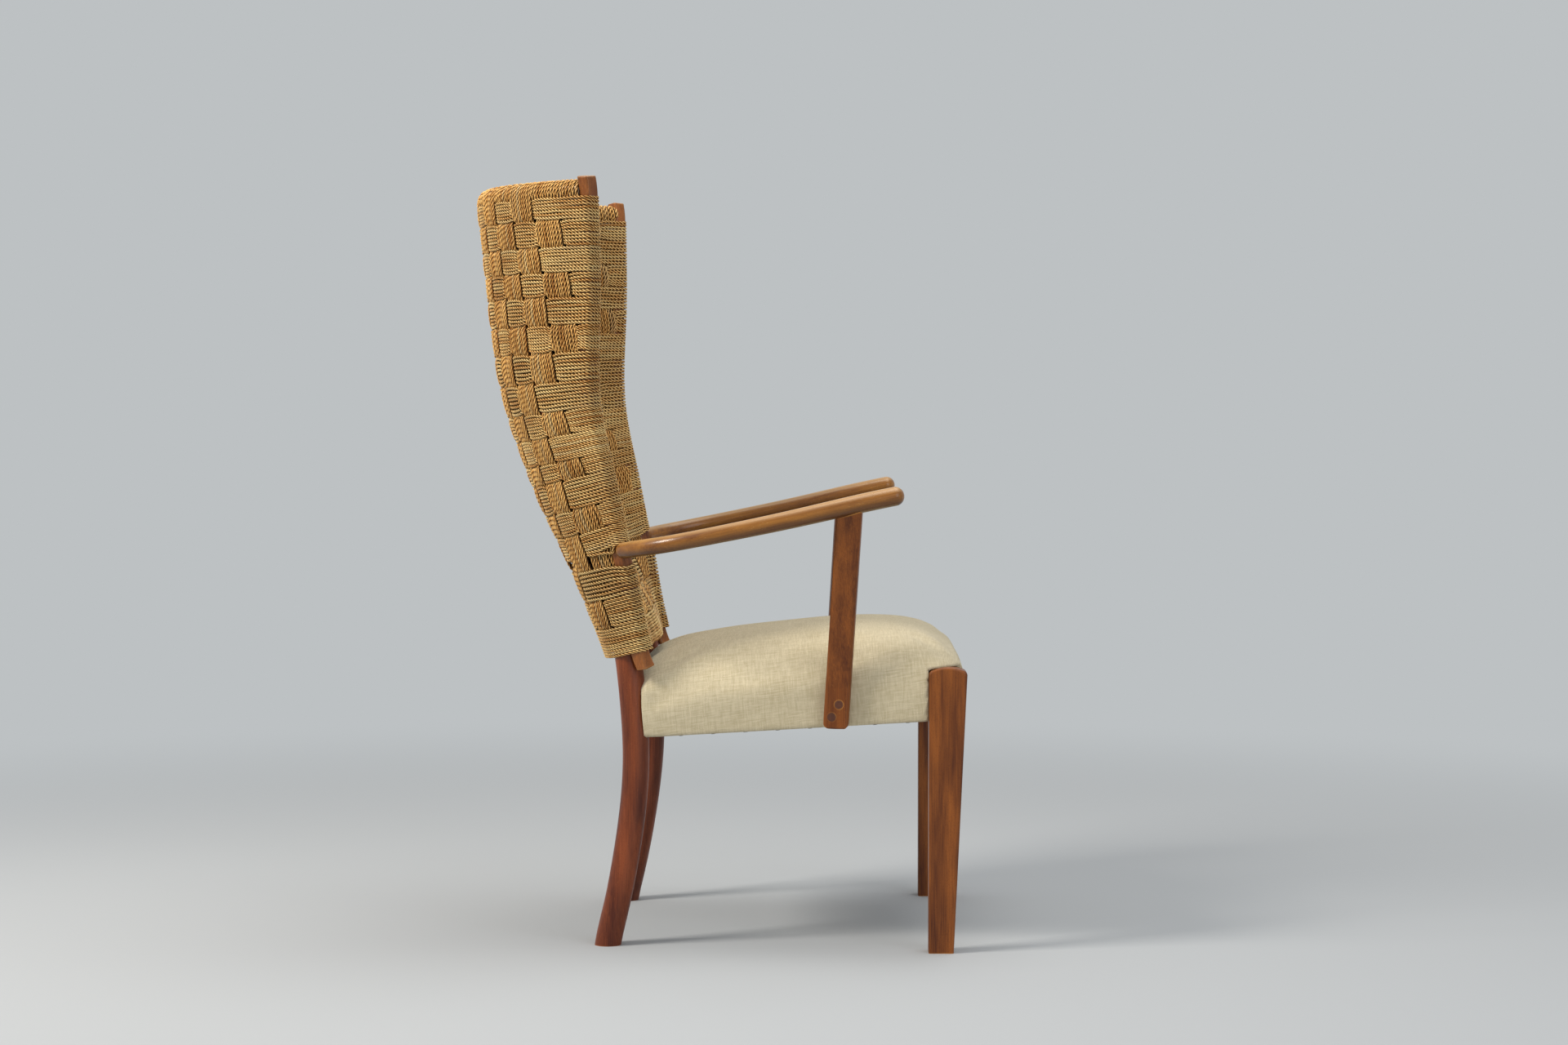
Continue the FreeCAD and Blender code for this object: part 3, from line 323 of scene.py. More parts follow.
@dataclass(frozen=True)
class SeagrassCord(Finish):
    """Seagrass twisted into three-strand cord. The eye sees the strands' slant, straw-like fibres with a dull
    shine, cords of slightly different age, painted shade in the grooves, painted highlights on the strands'
    crests, and grime where hands hold the back. Shares across a strand run from 0 at its middle to 0.5 where
    two strands meet, and shares round the cord from 0.5 outside to 0 inside."""

    roughness: float = 0.45
    tone: Tone = Tone.LEVEL
    # The colour of the painted shade in the grooves.
    groove_shade: str = "#2f1502"
    grime: str = "#5a2f16"
    bleached: str = "#f0d9a0"
    strands: int = 3
    strand_depth_mm: float = 1.1
    gloss: float = 0.2
    # Where the painted shade lies in the seams between strands and on the cord's flanks, where the painted
    # highlight lies on the strands' crests, and their strengths.
    seam_shares: tuple[float, float] = (0.22, 0.44)
    seam_shade: float = 0.97
    crest_shares: tuple[float, float] = (0.26, 0.05)
    crest_highlight: float = 0.8
    flank_shares: tuple[float, float] = (0.40, 0.25)
    flank_shade: float = 0.92
    fibres_in_turn: float = 2.2
    fibres_in_strand: float = 4.0
    ageing_in_turn: float = 0.11
    ageing_by_cord: float = 3.7
    patches_in_metre: float = 14.0

    def paint(self, tree: bpy.types.NodeTree, shader: bpy.types.Node) -> None:
        """Adds the strands, fibres, ageing, grime, painted highlights and painted shade. The UV map holds
        turns of lay, and cord plus turn round it.

        Args:
            tree: the material's nodes.
            shader: the material's shader.
        """
        # The place along, round and across the strands.
        middle, pale, deep = (linear(code) for code in self.tone.value)
        uv = add_node(tree, "SeparateXYZ", {0: add_node(tree, "UVMap", uv_map="cord").outputs[0]})
        turns, around = uv.outputs[0], uv.outputs[1]
        cord = maths(tree, "FLOOR", around)
        angle = maths(tree, "FRACT", around)
        lead = maths(tree, "SUBTRACT", angle, turns)
        strand = maths(tree, "MULTIPLY", lead, float(self.strands))
        nearest = maths(tree, "ROUND", strand)
        offset = maths(tree, "SUBTRACT", strand, nearest)
        off_middle = maths(tree, "ABSOLUTE", offset)
        seam = add_node(tree, "MapRange", {0: off_middle, 1: self.seam_shares[0], 2: self.seam_shares[1]},
                        interpolation_type="SMOOTHSTEP").outputs[0]
        # Painted highlight: the strands' middles turn pale.
        crest = ramp(tree, off_middle, self.crest_shares, (0.0, self.crest_highlight))

        # Fibres along the strands, and the slow change of each cord along its length.
        along = maths(tree, "MULTIPLY", turns, self.fibres_in_turn)
        across = maths(tree, "MULTIPLY", strand, self.fibres_in_strand)
        fibres = add_node(tree, "CombineXYZ", {0: along, 1: across, 2: cord}).outputs[0]
        fibre = add_node(tree, "TexNoise", {"Vector": fibres, "Scale": 1.0, "Detail": 3.0}).outputs["Fac"]
        age = add_node(tree, "TexWhiteNoise", {1: cord}, noise_dimensions="1D").outputs["Value"]
        place = add_node(tree, "TexCoord").outputs["Object"]
        patch = add_node(tree, "TexNoise", {"Vector": place, "Scale": self.patches_in_metre,
                                            "Detail": 3.0}).outputs["Fac"]
        stretch = maths(tree, "MULTIPLY", turns, self.ageing_in_turn)
        apart = maths(tree, "MULTIPLY", cord, self.ageing_by_cord)
        runs = add_node(tree, "CombineXYZ", {0: stretch, 1: apart}).outputs[0]
        run = add_node(tree, "TexNoise", {"Vector": runs, "Scale": 1.0, "Detail": 2.0}).outputs["Fac"]
        lightness = maths(tree, "ADD", fibre, run)
        fair = ramp(tree, lightness, (0.88, 1.32))
        pale_share = maths(tree, "ADD", fair, crest, clamp=True)
        deep_share = ramp(tree, lightness, (1.00, 0.62), (0.0, 0.8))

        # Straw tones, then a few bleached cords, darker patches and grime.
        first = blend(tree, pale_share, middle, pale)
        second = blend(tree, deep_share, first, deep)
        old = ramp(tree, age, (0.86, 1.0), (0.0, 0.55))
        third = blend(tree, old, second, linear(self.bleached))
        shade = ramp(tree, patch, (0.35, 0.65), (0.0, 0.28))
        fourth = blend(tree, shade, third, deep)
        dirt = add_node(tree, "Attribute", attribute_name="grime").outputs["Fac"]
        uneven = ramp(tree, patch, (0.3, 0.7), (0.45, 1.0))
        dirty = maths(tree, "MULTIPLY", dirt, uneven)
        fifth = blend(tree, dirty, fourth, linear(self.grime))

        # Painted shade in the grooves between the strands, and deeper between the cords.
        inward = maths(tree, "SUBTRACT", angle, 0.5)
        turned = maths(tree, "ABSOLUTE", inward)
        flank = ramp(tree, turned, self.flank_shares, (0.0, self.flank_shade))
        line = maths(tree, "MULTIPLY", seam, self.seam_shade)
        dark = maths(tree, "MAXIMUM", flank, line)
        colour = blend(tree, dark, fifth, linear(self.groove_shade))

        # The strands' round relief.
        doubled = maths(tree, "MULTIPLY", off_middle, 2.0)
        squared = maths(tree, "MULTIPLY", doubled, doubled)
        left = maths(tree, "SUBTRACT", 1.0, squared, clamp=True)
        rounded = maths(tree, "SQRT", left)
        relief = maths(tree, "MULTIPLY_ADD", fibre, 0.25, rounded)
        bump = add_node(tree, "Bump", {"Height": relief, "Strength": 1.0,
                                       "Distance": self.strand_depth_mm * MM})
        tree.links.new(colour, shader.inputs["Base Color"])
        tree.links.new(bump.outputs[0], shader.inputs["Normal"])
        shader.inputs["Roughness"].default_value = self.roughness
        shader.inputs["IOR"].default_value = 1.45
        shader.inputs["Specular IOR Level"].default_value = self.gloss


@dataclass(frozen=True)
class PlainWeave(Finish):
    """Cloth in plain weave, such as linen, hessian or jute strap. The eye sees its threads crossing, thicker
    slubs here and there, painted shade in the low places between the threads, and no shine. Threads under a
    millimetre are drawn that wide, to show at all."""

    roughness: float = 0.9
    thread_mm: float = 1.2
    light: str = "#e2d6b7"
    dark: str = "#c1b38f"
    # The colour of the painted shade between the threads.
    gap_shade: str = "#8f815f"
    slub: float = 0.5
    relief_mm: float = 0.35
    fuzz: float = 0.15
    swing_mm: float = 1.2
    swings_in_metre: float = 30.0
    clouds_in_metre: float = 9.0

    def paint(self, tree: bpy.types.NodeTree, shader: bpy.types.Node) -> None:
        """Adds the threads, slubs and painted shade between the threads. The UV map holds metres on the
        cloth.

        Args:
            tree: the material's nodes.
            shader: the material's shader.
        """
        # The threads' own grid, which wanders a little.
        uv = add_node(tree, "UVMap", uv_map="cloth").outputs[0]
        drift = add_node(tree, "TexNoise", {"Vector": uv, "Scale": self.swings_in_metre,
                                            "Detail": 2.0}).outputs["Color"]
        swing = add_node(tree, "VectorMath", {0: drift, 1: (self.swing_mm * MM,) * 3},
                         operation="MULTIPLY").outputs[0]
        bent = add_node(tree, "VectorMath", {0: uv, 1: swing}, operation="ADD").outputs[0]
        count = 1 / (self.thread_mm * MM)
        scaled = add_node(tree, "VectorMath", {0: bent, 1: (count,) * 3}, operation="MULTIPLY").outputs[0]
        axes = add_node(tree, "SeparateXYZ", {0: scaled})

        # Each thread's roundness and its slubs, drawn out along it.
        rounds, slubs = [], []
        for axis, stretch in ((0, (0.9, 0.06, 1.0)), (1, (0.06, 0.9, 1.0))):
            half_turn = maths(tree, "MULTIPLY", axes.outputs[axis], math.pi)
            wave = maths(tree, "SINE", half_turn)
            rounds.append(maths(tree, "ABSOLUTE", wave))
            drawn = add_node(tree, "VectorMath", {0: scaled, 1: stretch}, operation="MULTIPLY").outputs[0]
            slubs.append(add_node(tree, "TexNoise", {"Vector": drawn, "Scale": 1.0,
                                                     "Detail": 2.0}).outputs["Fac"])

        # The threads over and under each other by turns, with painted shade where they dip.
        cells = add_node(tree, "TexChecker", {"Vector": scaled, "Scale": 1.0}).outputs["Fac"]
        height = add_node(tree, "Mix", {0: cells, 2: rounds[0], 3: rounds[1]}).outputs[0]
        slub = add_node(tree, "Mix", {0: cells, 2: slubs[0], 3: slubs[1]}).outputs[0]
        thick = ramp(tree, slub, (0.35, 0.68), (0.5 - self.slub, 0.5 + self.slub))
        cloud = add_node(tree, "TexNoise", {"Vector": uv, "Scale": self.clouds_in_metre,
                                            "Detail": 3.0}).outputs["Fac"]
        drifting = ramp(tree, cloud, target=(-0.25, 0.25))
        lit = maths(tree, "ADD", thick, drifting, clamp=True)
        yarn = add_node(tree, "Mix", {0: lit, 6: linear(self.dark), 7: linear(self.light)}, data_type="RGBA")
        # Painted shade: the low places between threads mix toward the darker gap colour.
        gap = ramp(tree, height, (0.0, 0.45), (0.75, 0.0))
        colour = add_node(tree, "Mix", {0: gap, 6: yarn.outputs[2], 7: linear(self.gap_shade)}, data_type="RGBA")
        relief = maths(tree, "ADD", height, slub)
        bump = add_node(tree, "Bump", {"Height": relief, "Strength": 0.5, "Distance": self.relief_mm * MM})
        tree.links.new(colour.outputs[2], shader.inputs["Base Color"])
        tree.links.new(bump.outputs[0], shader.inputs["Normal"])
        shader.inputs["Roughness"].default_value = self.roughness
        shader.inputs["IOR"].default_value = 1.46
        shader.inputs["Sheen Weight"].default_value = self.fuzz
        shader.inputs["Sheen Roughness"].default_value = 0.5


@dataclass(frozen=True)
class Fibre(Finish):
    """Loose fibre and wadding: a matt tangle of pale and dark strands."""

    roughness: float = 0.95
    light: str = "#cfc4a4"
    dark: str = "#8f7f59"
    strand_mm: float = 2.0

    def paint(self, tree: bpy.types.NodeTree, shader: bpy.types.Node) -> None:
        """Adds the tangle.

        Args:
            tree: the material's nodes.
            shader: the material's shader.
        """
        place = add_node(tree, "TexCoord").outputs["Object"]
        tangle = add_node(tree, "TexNoise", {"Vector": place, "Scale": 1 / (self.strand_mm * MM),
                                             "Detail": 3.0, "Distortion": 2.5}).outputs["Fac"]
        colour = add_node(tree, "Mix", {0: tangle, 6: linear(self.dark), 7: linear(self.light)},
                          data_type="RGBA")
        bump = add_node(tree, "Bump", {"Height": tangle, "Strength": 0.8, "Distance": 1.0 * MM})
        tree.links.new(colour.outputs[2], shader.inputs["Base Color"])
        tree.links.new(bump.outputs[0], shader.inputs["Normal"])
        shader.inputs["Roughness"].default_value = self.roughness


@dataclass(frozen=True)
class Steel(Finish):
    """Drawn or forged steel, bare, blued or washed with copper. The eye sees a grey shine with dull spots."""

    roughness: float = 0.38
    bright: str = "#a8a8a6"
    dull: str = "#6d655c"
    spot_mm: float = 3.0

    def paint(self, tree: bpy.types.NodeTree, shader: bpy.types.Node) -> None:
        """Adds the metal and its dull spots.

        Args:
            tree: the material's nodes.
            shader: the material's shader.
        """
        place = add_node(tree, "TexCoord").outputs["Object"]
        spots = add_node(tree, "TexNoise", {"Vector": place, "Scale": 1 / (self.spot_mm * MM), "Detail": 4.0})
        tone = ramp(tree, spots.outputs["Fac"], (0.42, 0.62))
        colour = add_node(tree, "Mix", {0: tone, 6: linear(self.bright), 7: linear(self.dull)},
                          data_type="RGBA")
        gloss = add_node(tree, "MapRange", {0: tone, 3: self.roughness, 4: self.roughness + 0.2})
        tree.links.new(colour.outputs[2], shader.inputs["Base Color"])
        tree.links.new(gloss.outputs[0], shader.inputs["Roughness"])
        shader.inputs["Metallic"].default_value = 1.0


# The pale edges and tops carry a painted highlight and sheen besides wear; the arms' finish also paints shade
# on undersides.
RED_BEECH = StainedBeech("beech_stained_red_brown", 0.40, dark="#4f1f0d", light="#8a4523", fleck_and_shade="#381206",
                         pale_fleck_wear_and_sheen="#b5753f", edge_wear_and_highlight=0.5, gloss=0.3, lacquer=0.06)
BROWN_BEECH = StainedBeech("beech_stained_mid_brown", 0.40, dark="#4f2206", light="#96541c", fleck_and_shade="#3c1705",
                           pale_fleck_wear_and_sheen="#c08439", edge_wear_and_highlight=0.8, gloss=0.3, lacquer=0.06)
WORN_AND_SHEEN_BEECH = StainedBeech("beech_stained_worn_and_sheen_ends", 0.40, dark="#5a2b0c", light="#a5632c", fleck_and_shade="#3c1705",
                          pale_fleck_wear_and_sheen="#d0a066", edge_radius_mm=5.0, edge_wear_and_highlight=1.0, top_wear_and_sheen=0.6, gloss=0.3, lacquer=0.1)
GOLD_BEECH = StainedBeech("beech_lacquered_golden_brown", 0.34, dark="#6a3a0c", light="#a56d25",
                          fleck_and_shade="#3c1c09", pale_fleck_wear_and_sheen="#d9b078", grain=Grain.ALONG_ARM, rise=12.0, edge_wear_and_highlight=0.2,
                          top_wear_and_sheen=0.62, painted_shade_below=0.7, lacquer=0.35)
BARE_BEECH = StainedBeech("beech_bare", 0.6, dark="#b08a5f", light="#cfae80", fleck_and_shade="#8f6a43",
                          pale_fleck_wear_and_sheen="#d8bd94", grain=Grain.ACROSS, lacquer=0.0, edge_wear_and_highlight=0.2)
PLUG_BEECH = StainedBeech("beech_end_grain_plug", 0.42, dark="#3d1c0d", light="#6b3a1e", fleck_and_shade="#261006",
                          pale_fleck_wear_and_sheen="#8a5a30", streak_mm=(0.8, 1.2), edge_wear_and_highlight=0.3)
LEVEL_CORD = SeagrassCord("seagrass_cord_level")
UPRIGHT_CORD = SeagrassCord("seagrass_cord_upright", tone=Tone.UPRIGHT)
LINEN = PlainWeave("linen_natural")
HESSIAN = PlainWeave("hessian_jute", thread_mm=2.2, light="#b08f5e", dark="#836438", gap_shade="#3d2c17",
                     relief_mm=0.6)
JUTE_STRAP = PlainWeave("jute_webbing", thread_mm=1.6, light="#b29a6c", dark="#84693f", gap_shade="#4b3a20")
DUST_COTTON = PlainWeave("cotton_dust_cover", thread_mm=0.9, light="#8e8670", dark="#6f6853", gap_shade="#4a4435",
                         relief_mm=0.2)
STUFFING_FIBRE = Fibre("cotton_wadding")
SPRING_STEEL = Steel("spring_steel_copper_washed", bright="#b08767", dull="#6b4b36")
SCREW_STEEL = Steel("screw_steel")
BLUED_STEEL = Steel("steel_blued", bright="#3a3f4a", dull="#23262c")


# Meshes


def new_piece(name: str, points: np.ndarray, faces: np.ndarray, finish: Finish) -> bpy.types.Object:
    """Makes a mesh object and gives it its finish.

    Args:
        name: the piece's name.
        points: its vertices, in metres.
        faces: the vertices of each face, all with as many corners.
        finish: the finish of all of it.

    Returns:
        The new object, riding on the chair's body.
    """
    mesh = bpy.data.meshes.new(name)
    corners = faces.shape[1]
    mesh.vertices.add(len(points))
    mesh.vertices.foreach_set("co", points.astype(np.float32).ravel())
    mesh.loops.add(faces.size)
    mesh.loops.foreach_set("vertex_index", faces.astype(np.int32).ravel())
    mesh.polygons.add(len(faces))
    mesh.polygons.foreach_set("loop_start", np.arange(0, faces.size, corners, dtype=np.int32))
    mesh.polygons.foreach_set("use_smooth", np.full(len(faces), True))
    mesh.update(calc_edges=True)
    mesh.validate()
    mesh.materials.append(finish.material())
    piece = bpy.data.objects.new(name, mesh)
    bpy.context.scene.collection.objects.link(piece)
    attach(piece, BODY)
    return piece


def set_uv(piece: bpy.types.Object, name: str, values: np.ndarray) -> None:
    """Gives a piece a UV map.

    Args:
        piece: the mesh object.
        name: the map's name.
        values: a pair for each face corner.
    """
    layer = piece.data.uv_layers.new(name=name)
    layer.data.foreach_set("uv", values.astype(np.float32).ravel())


def read_points(mesh: bpy.types.Mesh) -> np.ndarray:
    """Reads a mesh's vertices.

    Args:
        mesh: the mesh.

    Returns:
        Rows of x, y and z.
    """
    values = np.empty(len(mesh.vertices) * 3)
    mesh.vertices.foreach_get("co", values)
    return values.reshape(-1, 3)


def smooth_step(low: float, high: float, values: np.ndarray) -> np.ndarray:
    """Eases from 0 at low to 1 at high."""
    t = np.clip((values - low) / (high - low), 0, 1)
    return t * t * (3 - 2 * t)


def distances(points: np.ndarray) -> np.ndarray:
    """Gives how far along a line each of its points lies."""
    return np.concatenate([[0], np.cumsum(np.linalg.norm(np.diff(points, axis=0), axis=1))])


def read_columns(places: np.ndarray, marks: np.ndarray, table: np.ndarray) -> np.ndarray:
    """Reads every column of a table at some places between its marks."""
    return np.stack([np.interp(places, marks, column) for column in table.T], axis=1)


def unit(rows: np.ndarray) -> np.ndarray:
    """Gives each row of a table the length 1."""
    return rows / np.linalg.norm(rows, axis=1)[:, None]


def loft_faces(rings: int, count: int) -> np.ndarray:
    """Joins closed rings of points by four-cornered faces.

    Args:
        rings: how many rings there are.
        count: how many points each of them has.

    Returns:
        Each face as the numbers of its points.
    """
    i, j = np.meshgrid(np.arange(rings - 1), np.arange(count), indexing="ij")
    i, j = i.ravel(), j.ravel()
    this, beside = i * count, (j + 1) % count
    following = this + count
    return np.stack([this + j, this + beside, following + beside, following + j], axis=1)


def read_shares(table: tuple[tuple[float, ...], ...], share: float, column: int = 1) -> float:
    """Reads a column of a table smoothly, between its rows.

    Args:
        table: rows in rising order of their first value.
        share: the place in the first column.
        column: the column to read.

    Returns:
        The value there.
    """
    rows = [(row[0], row[column]) for row in table]
    slopes = []
    for i in range(len(rows)):
        before, after = rows[max(0, i - 1)], rows[min(len(rows) - 1, i + 1)]
        slopes.append((after[1] - before[1]) / (after[0] - before[0]))
    share = min(max(share, rows[0][0]), rows[-1][0])
    i = max(j for j in range(len(rows) - 1) if rows[j][0] <= share)
    (x0, y0), (x1, y1) = rows[i], rows[i + 1]
    t = (share - x0) / (x1 - x0)
    bend0, bend1, rise = slopes[i] * (x1 - x0), slopes[i + 1] * (x1 - x0), y1 - y0
    return y0 + t * bend0 + t * t * (3 * rise - 2 * bend0 - bend1) + t ** 3 * (bend0 + bend1 - 2 * rise)


def respaced(points: np.ndarray, extras: np.ndarray, step: float,
             even: bool) -> tuple[np.ndarray, np.ndarray]:
    """Spaces the points of a line evenly.

    Args:
        points: the line's points.
        extras: values that go with each point, in columns.
        step: the wanted distance between points.
        even: whether the line is closed, and so takes an even number of steps.

    Returns:
        The new points and the values at them.
    """
    run = distances(points)
    count = max(2, int(round(run[-1] / step)))
    if even:
        count += count % 2
    places = np.linspace(0, run[-1], count + 1)
    columns = np.hstack([points, extras])
    spaced = read_columns(places, run, columns)
    return spaced[:, :3], spaced[:, 3:]


@dataclass
class Cord:
    """One length of twisted cord: its middle line, the way out of the weave at each point, and its grime."""

    line: np.ndarray
    out: np.ndarray
    grime: np.ndarray
    closed: bool


@dataclass(frozen=True)
class Rope:
    """How cord is drawn: a six-sided tube whose corners rise and fall in turn, so that three strands wind
    round it."""

    crest_radius: float = 2.45 * MM
    valley_radius: float = 1.50 * MM
    lay: float = 20.0 * MM
    corners: int = 6

    @property
    def step(self) -> float:
        """The distance between rings: a sixth of a turn of the lay."""
        return self.lay / self.corners

    def piece(self, name: str, cords: list[Cord], finish: Finish, first: int) -> bpy.types.Object:
        """Makes one mesh of several cords.

        Args:
            name: the piece's name.
            cords: the cords, with their points a step apart.
            finish: the cords' finish.
            first: the number of the first cord, by which their colours differ.

        Returns:
            The new object.
        """
        all_points, all_faces, all_uvs, all_grime, total = [], [], [], [], 0
        turn = np.arange(self.corners)
        angle = turn * 2 * math.pi / self.corners
        for number, cord in enumerate(cords):
            line = cord.line[:-1] if cord.closed else cord.line
            out = cord.out[:-1] if cord.closed else cord.out
            grime = cord.grime[:-1] if cord.closed else cord.grime
            count = len(line)
            if cord.closed:
                along = np.roll(line, -1, axis=0) - np.roll(line, 1, axis=0)
            else:
                along = np.gradient(line, axis=0)
            along = unit(along)
            out = unit(out - along * (out * along).sum(1)[:, None])
            side = np.cross(along, out)
            ring = np.arange(count)
            crest = ((ring[:, None] + turn[None, :]) % 2) == 0
            radius = np.where(crest, self.crest_radius, self.valley_radius)
            ways = (np.cos(angle)[None, :, None] * out[:, None, :]
                    + np.sin(angle)[None, :, None] * side[:, None, :])
            all_points.append((line[:, None, :] + radius[:, :, None] * ways).reshape(-1, 3))
            all_grime.append(np.repeat(grime, self.corners))
            steps = ring if cord.closed else ring[:-1]
            i, j = np.meshgrid(steps, turn, indexing="ij")
            i, j = i.ravel(), j.ravel()
            after, beside = (i + 1) % count, (j + 1) % self.corners
            a, b = total + i * self.corners + j, total + i * self.corners + beside
            c, d = total + after * self.corners + beside, total + after * self.corners + j
            all_faces.append(np.concatenate([np.stack([a, b, c], 1), np.stack([a, c, d], 1)]))
            u0, v0 = i / self.corners, first + number + j / self.corners
            u1, v1 = u0 + 1 / self.corners, v0 + 0.999 / self.corners
            all_uvs.append(np.concatenate([
                np.stack([u0, v0, u0, v1, u1, v1], 1).reshape(-1, 3, 2),
                np.stack([u0, v0, u1, v1, u1, v0], 1).reshape(-1, 3, 2),
            ]))
            total += count * self.corners
        piece = new_piece(name, np.concatenate(all_points), np.concatenate(all_faces), finish)
        set_uv(piece, "cord", np.concatenate(all_uvs))
        marks = piece.data.attributes.new("grime", "FLOAT", "POINT")
        marks.data.foreach_set("value", np.concatenate(all_grime).astype(np.float32))
        return piece


# Woven back


@dataclass(frozen=True)
class BackShape:
    """The curved body of the woven back, as the solid model has it, in metres."""

    bottom_z: float = 0.414
    top_z: float = 1.101
    stile_bottom_z: float = 0.404
    stile_top_z: float = 1.105
    stile_bottom: tuple[float, float] = (0.233, 0.098)
    stile_top: tuple[float, float] = (0.309, 0.177)
    rear_bottom_y: float = 0.167
    rear_top_y: float = 0.365
    depth: float = 0.042
    bottom_depth: float = 0.086
    nose_radius: float = 0.0155
    nose_setback: float = 0.001
    stile_turn: float = 55.0
    stile_width: float = 0.020
    stile_thickness: float = 0.022
    stile_round: float = 0.004
    box_turn: float = 80.0
    top_round: float = 0.020
    top_inset: float = 0.014
    handle_share: float = 0.40
    box_rear_handle_share: float = 0.62
    box_side_handle_share: float = 0.22
    flat_handle_share: float = 0.33
    sweep_shares: tuple = (
        (0.0, 0.0), (0.105, 0.215), (0.195, 0.36), (0.30, 0.56), (0.39, 0.72),
        (0.47, 0.88), (0.54, 0.98), (0.62, 1.01), (0.78, 0.97), (1.0, 1.0),
    )
    station_shares: tuple = (
        (0.0, 0.0, 1.0, 1.0), (0.088, 0.126, 0.90, 1.08), (0.206, 0.313, 0.60, 0.82),
        (0.302, 0.482, 0.32, 0.46), (0.391, 0.613, 0.10, 0.18), (0.535, 0.785, 0.0, 0.0),
        (0.66, 0.868, 0.0, 0.0), (0.853, 0.943, 0.0, 0.0), (1.0, 1.0, 0.0, 0.0),
    )

    def stile(self, z: float) -> np.ndarray:
        """Gives the middle of the left stile at a height.

        Args:
            z: the height.

        Returns:
            Its x and y.
        """
        share = (z - self.stile_bottom_z) / (self.stile_top_z - self.stile_bottom_z)
        low, high = np.array(self.stile_bottom), np.array(self.stile_top)
        return low + (high - low) * np.array([share, read_shares(self.sweep_shares, share)])

    def stile_axes(self) -> tuple[np.ndarray, np.ndarray]:
        """Gives the left stile's ways across and outward, as x and y."""
        turn = math.radians(self.stile_turn)
        return np.array([math.cos(turn), -math.sin(turn)]), np.array([math.sin(turn), math.cos(turn)])

    def nose(self, z: float) -> np.ndarray:
        """Gives the left stile's front corner at a height, as x and y."""
        return self.stile(z) + self.nose_radius * self.stile_axes()[0]

    def clear_of_stiles(self, points: np.ndarray, gap: float) -> np.ndarray:
        """Moves points out of the stiles.

        Args:
            points: points in space.
            gap: how far they stay from the wood.

        Returns:
            The points, each at least the gap away from the stile next to it.
        """
        heights = np.linspace(self.stile_bottom_z, self.stile_top_z, 60)
        centres = np.array([self.stile(z) for z in heights])
        across, outward = self.stile_axes()
        sign = np.where(points[:, 0] < 0, -1, 1)
        centre = read_columns(points[:, 2], heights, centres)
        flat = np.stack([points[:, 0] * sign, points[:, 1]], axis=1) - centre
        place = np.stack([flat @ across, flat @ outward], axis=1)
        core = np.array([self.stile_width, self.stile_thickness]) / 2 - self.stile_round
        nearest = np.clip(place, -core, core)
        beside = np.abs(place[:, 0]) < core[0]
        nearest[beside, 1] = np.sign(place[beside, 1]) * core[1]
        away = place - nearest
        inside = beside & (np.abs(place[:, 1]) < core[1])
        away[inside] = nearest[inside] * (0, 1)
        length = np.linalg.norm(away, axis=1)
        reach = np.where(inside, 0, length)
        near = reach < self.stile_round + gap
        way = away[near] / np.maximum(length[near], 1e-9)[:, None]
        place[near] = nearest[near] + way * (self.stile_round + gap)
        moved = centre + place[:, :1] * across + place[:, 1:] * outward
        return np.column_stack([moved[:, 0] * sign, moved[:, 1], points[:, 2]])

    def outline(self, z: float, side: Side) -> np.ndarray:
        """Gives half the body's level outline, from its middle to the nose round the left stile.

        Args:
            z: the height.
            side: the face to follow.

        Returns:
            Points as x and y.
        """
        share = (z - self.bottom_z) / (self.top_z - self.bottom_z)
        sweep, boxed, deep = (read_shares(self.station_shares, share, column) for column in (1, 2, 3))
        across, outward = self.stile_axes()
        centre = self.stile(z) - across * self.nose_setback
        radius = self.nose_radius
        rear_y = self.rear_bottom_y + (self.rear_top_y - self.rear_bottom_y) * sweep
        if side is Side.REAR:
            middle_y, end_turn = rear_y, self.stile_turn + (self.box_turn - self.stile_turn) * boxed
            shares = self.box_rear_handle_share, self.box_side_handle_share
        else:
            middle_y = rear_y - self.depth - (self.bottom_depth - self.depth) * deep
            end_turn, shares = self.stile_turn * (1 - boxed), (self.flat_handle_share, self.flat_handle_share)
        end = centre + outward * radius * side.value
        middle_handle, end_handle = (end[0] * (self.handle_share + (s - self.handle_share) * boxed)
                                     for s in shares)
        angle = math.radians(end_turn)
        poles = np.array([
            (0.0, middle_y), (middle_handle, middle_y),
            end + end_handle * np.array([-math.cos(angle), math.sin(angle)]), end,
        ])
        t = np.linspace(0, 1, 160)[:, None]
        curve = ((1 - t) ** 3 * poles[0] + 3 * t * (1 - t) ** 2 * poles[1] + 3 * t * t * (1 - t) * poles[2]
                 + t ** 3 * poles[3])
        q = np.linspace(0, math.pi / 2, 24)[1:, None]
        nose = centre + radius * (np.cos(q) * outward * side.value + np.sin(q) * across)
        return np.vstack([curve, nose])


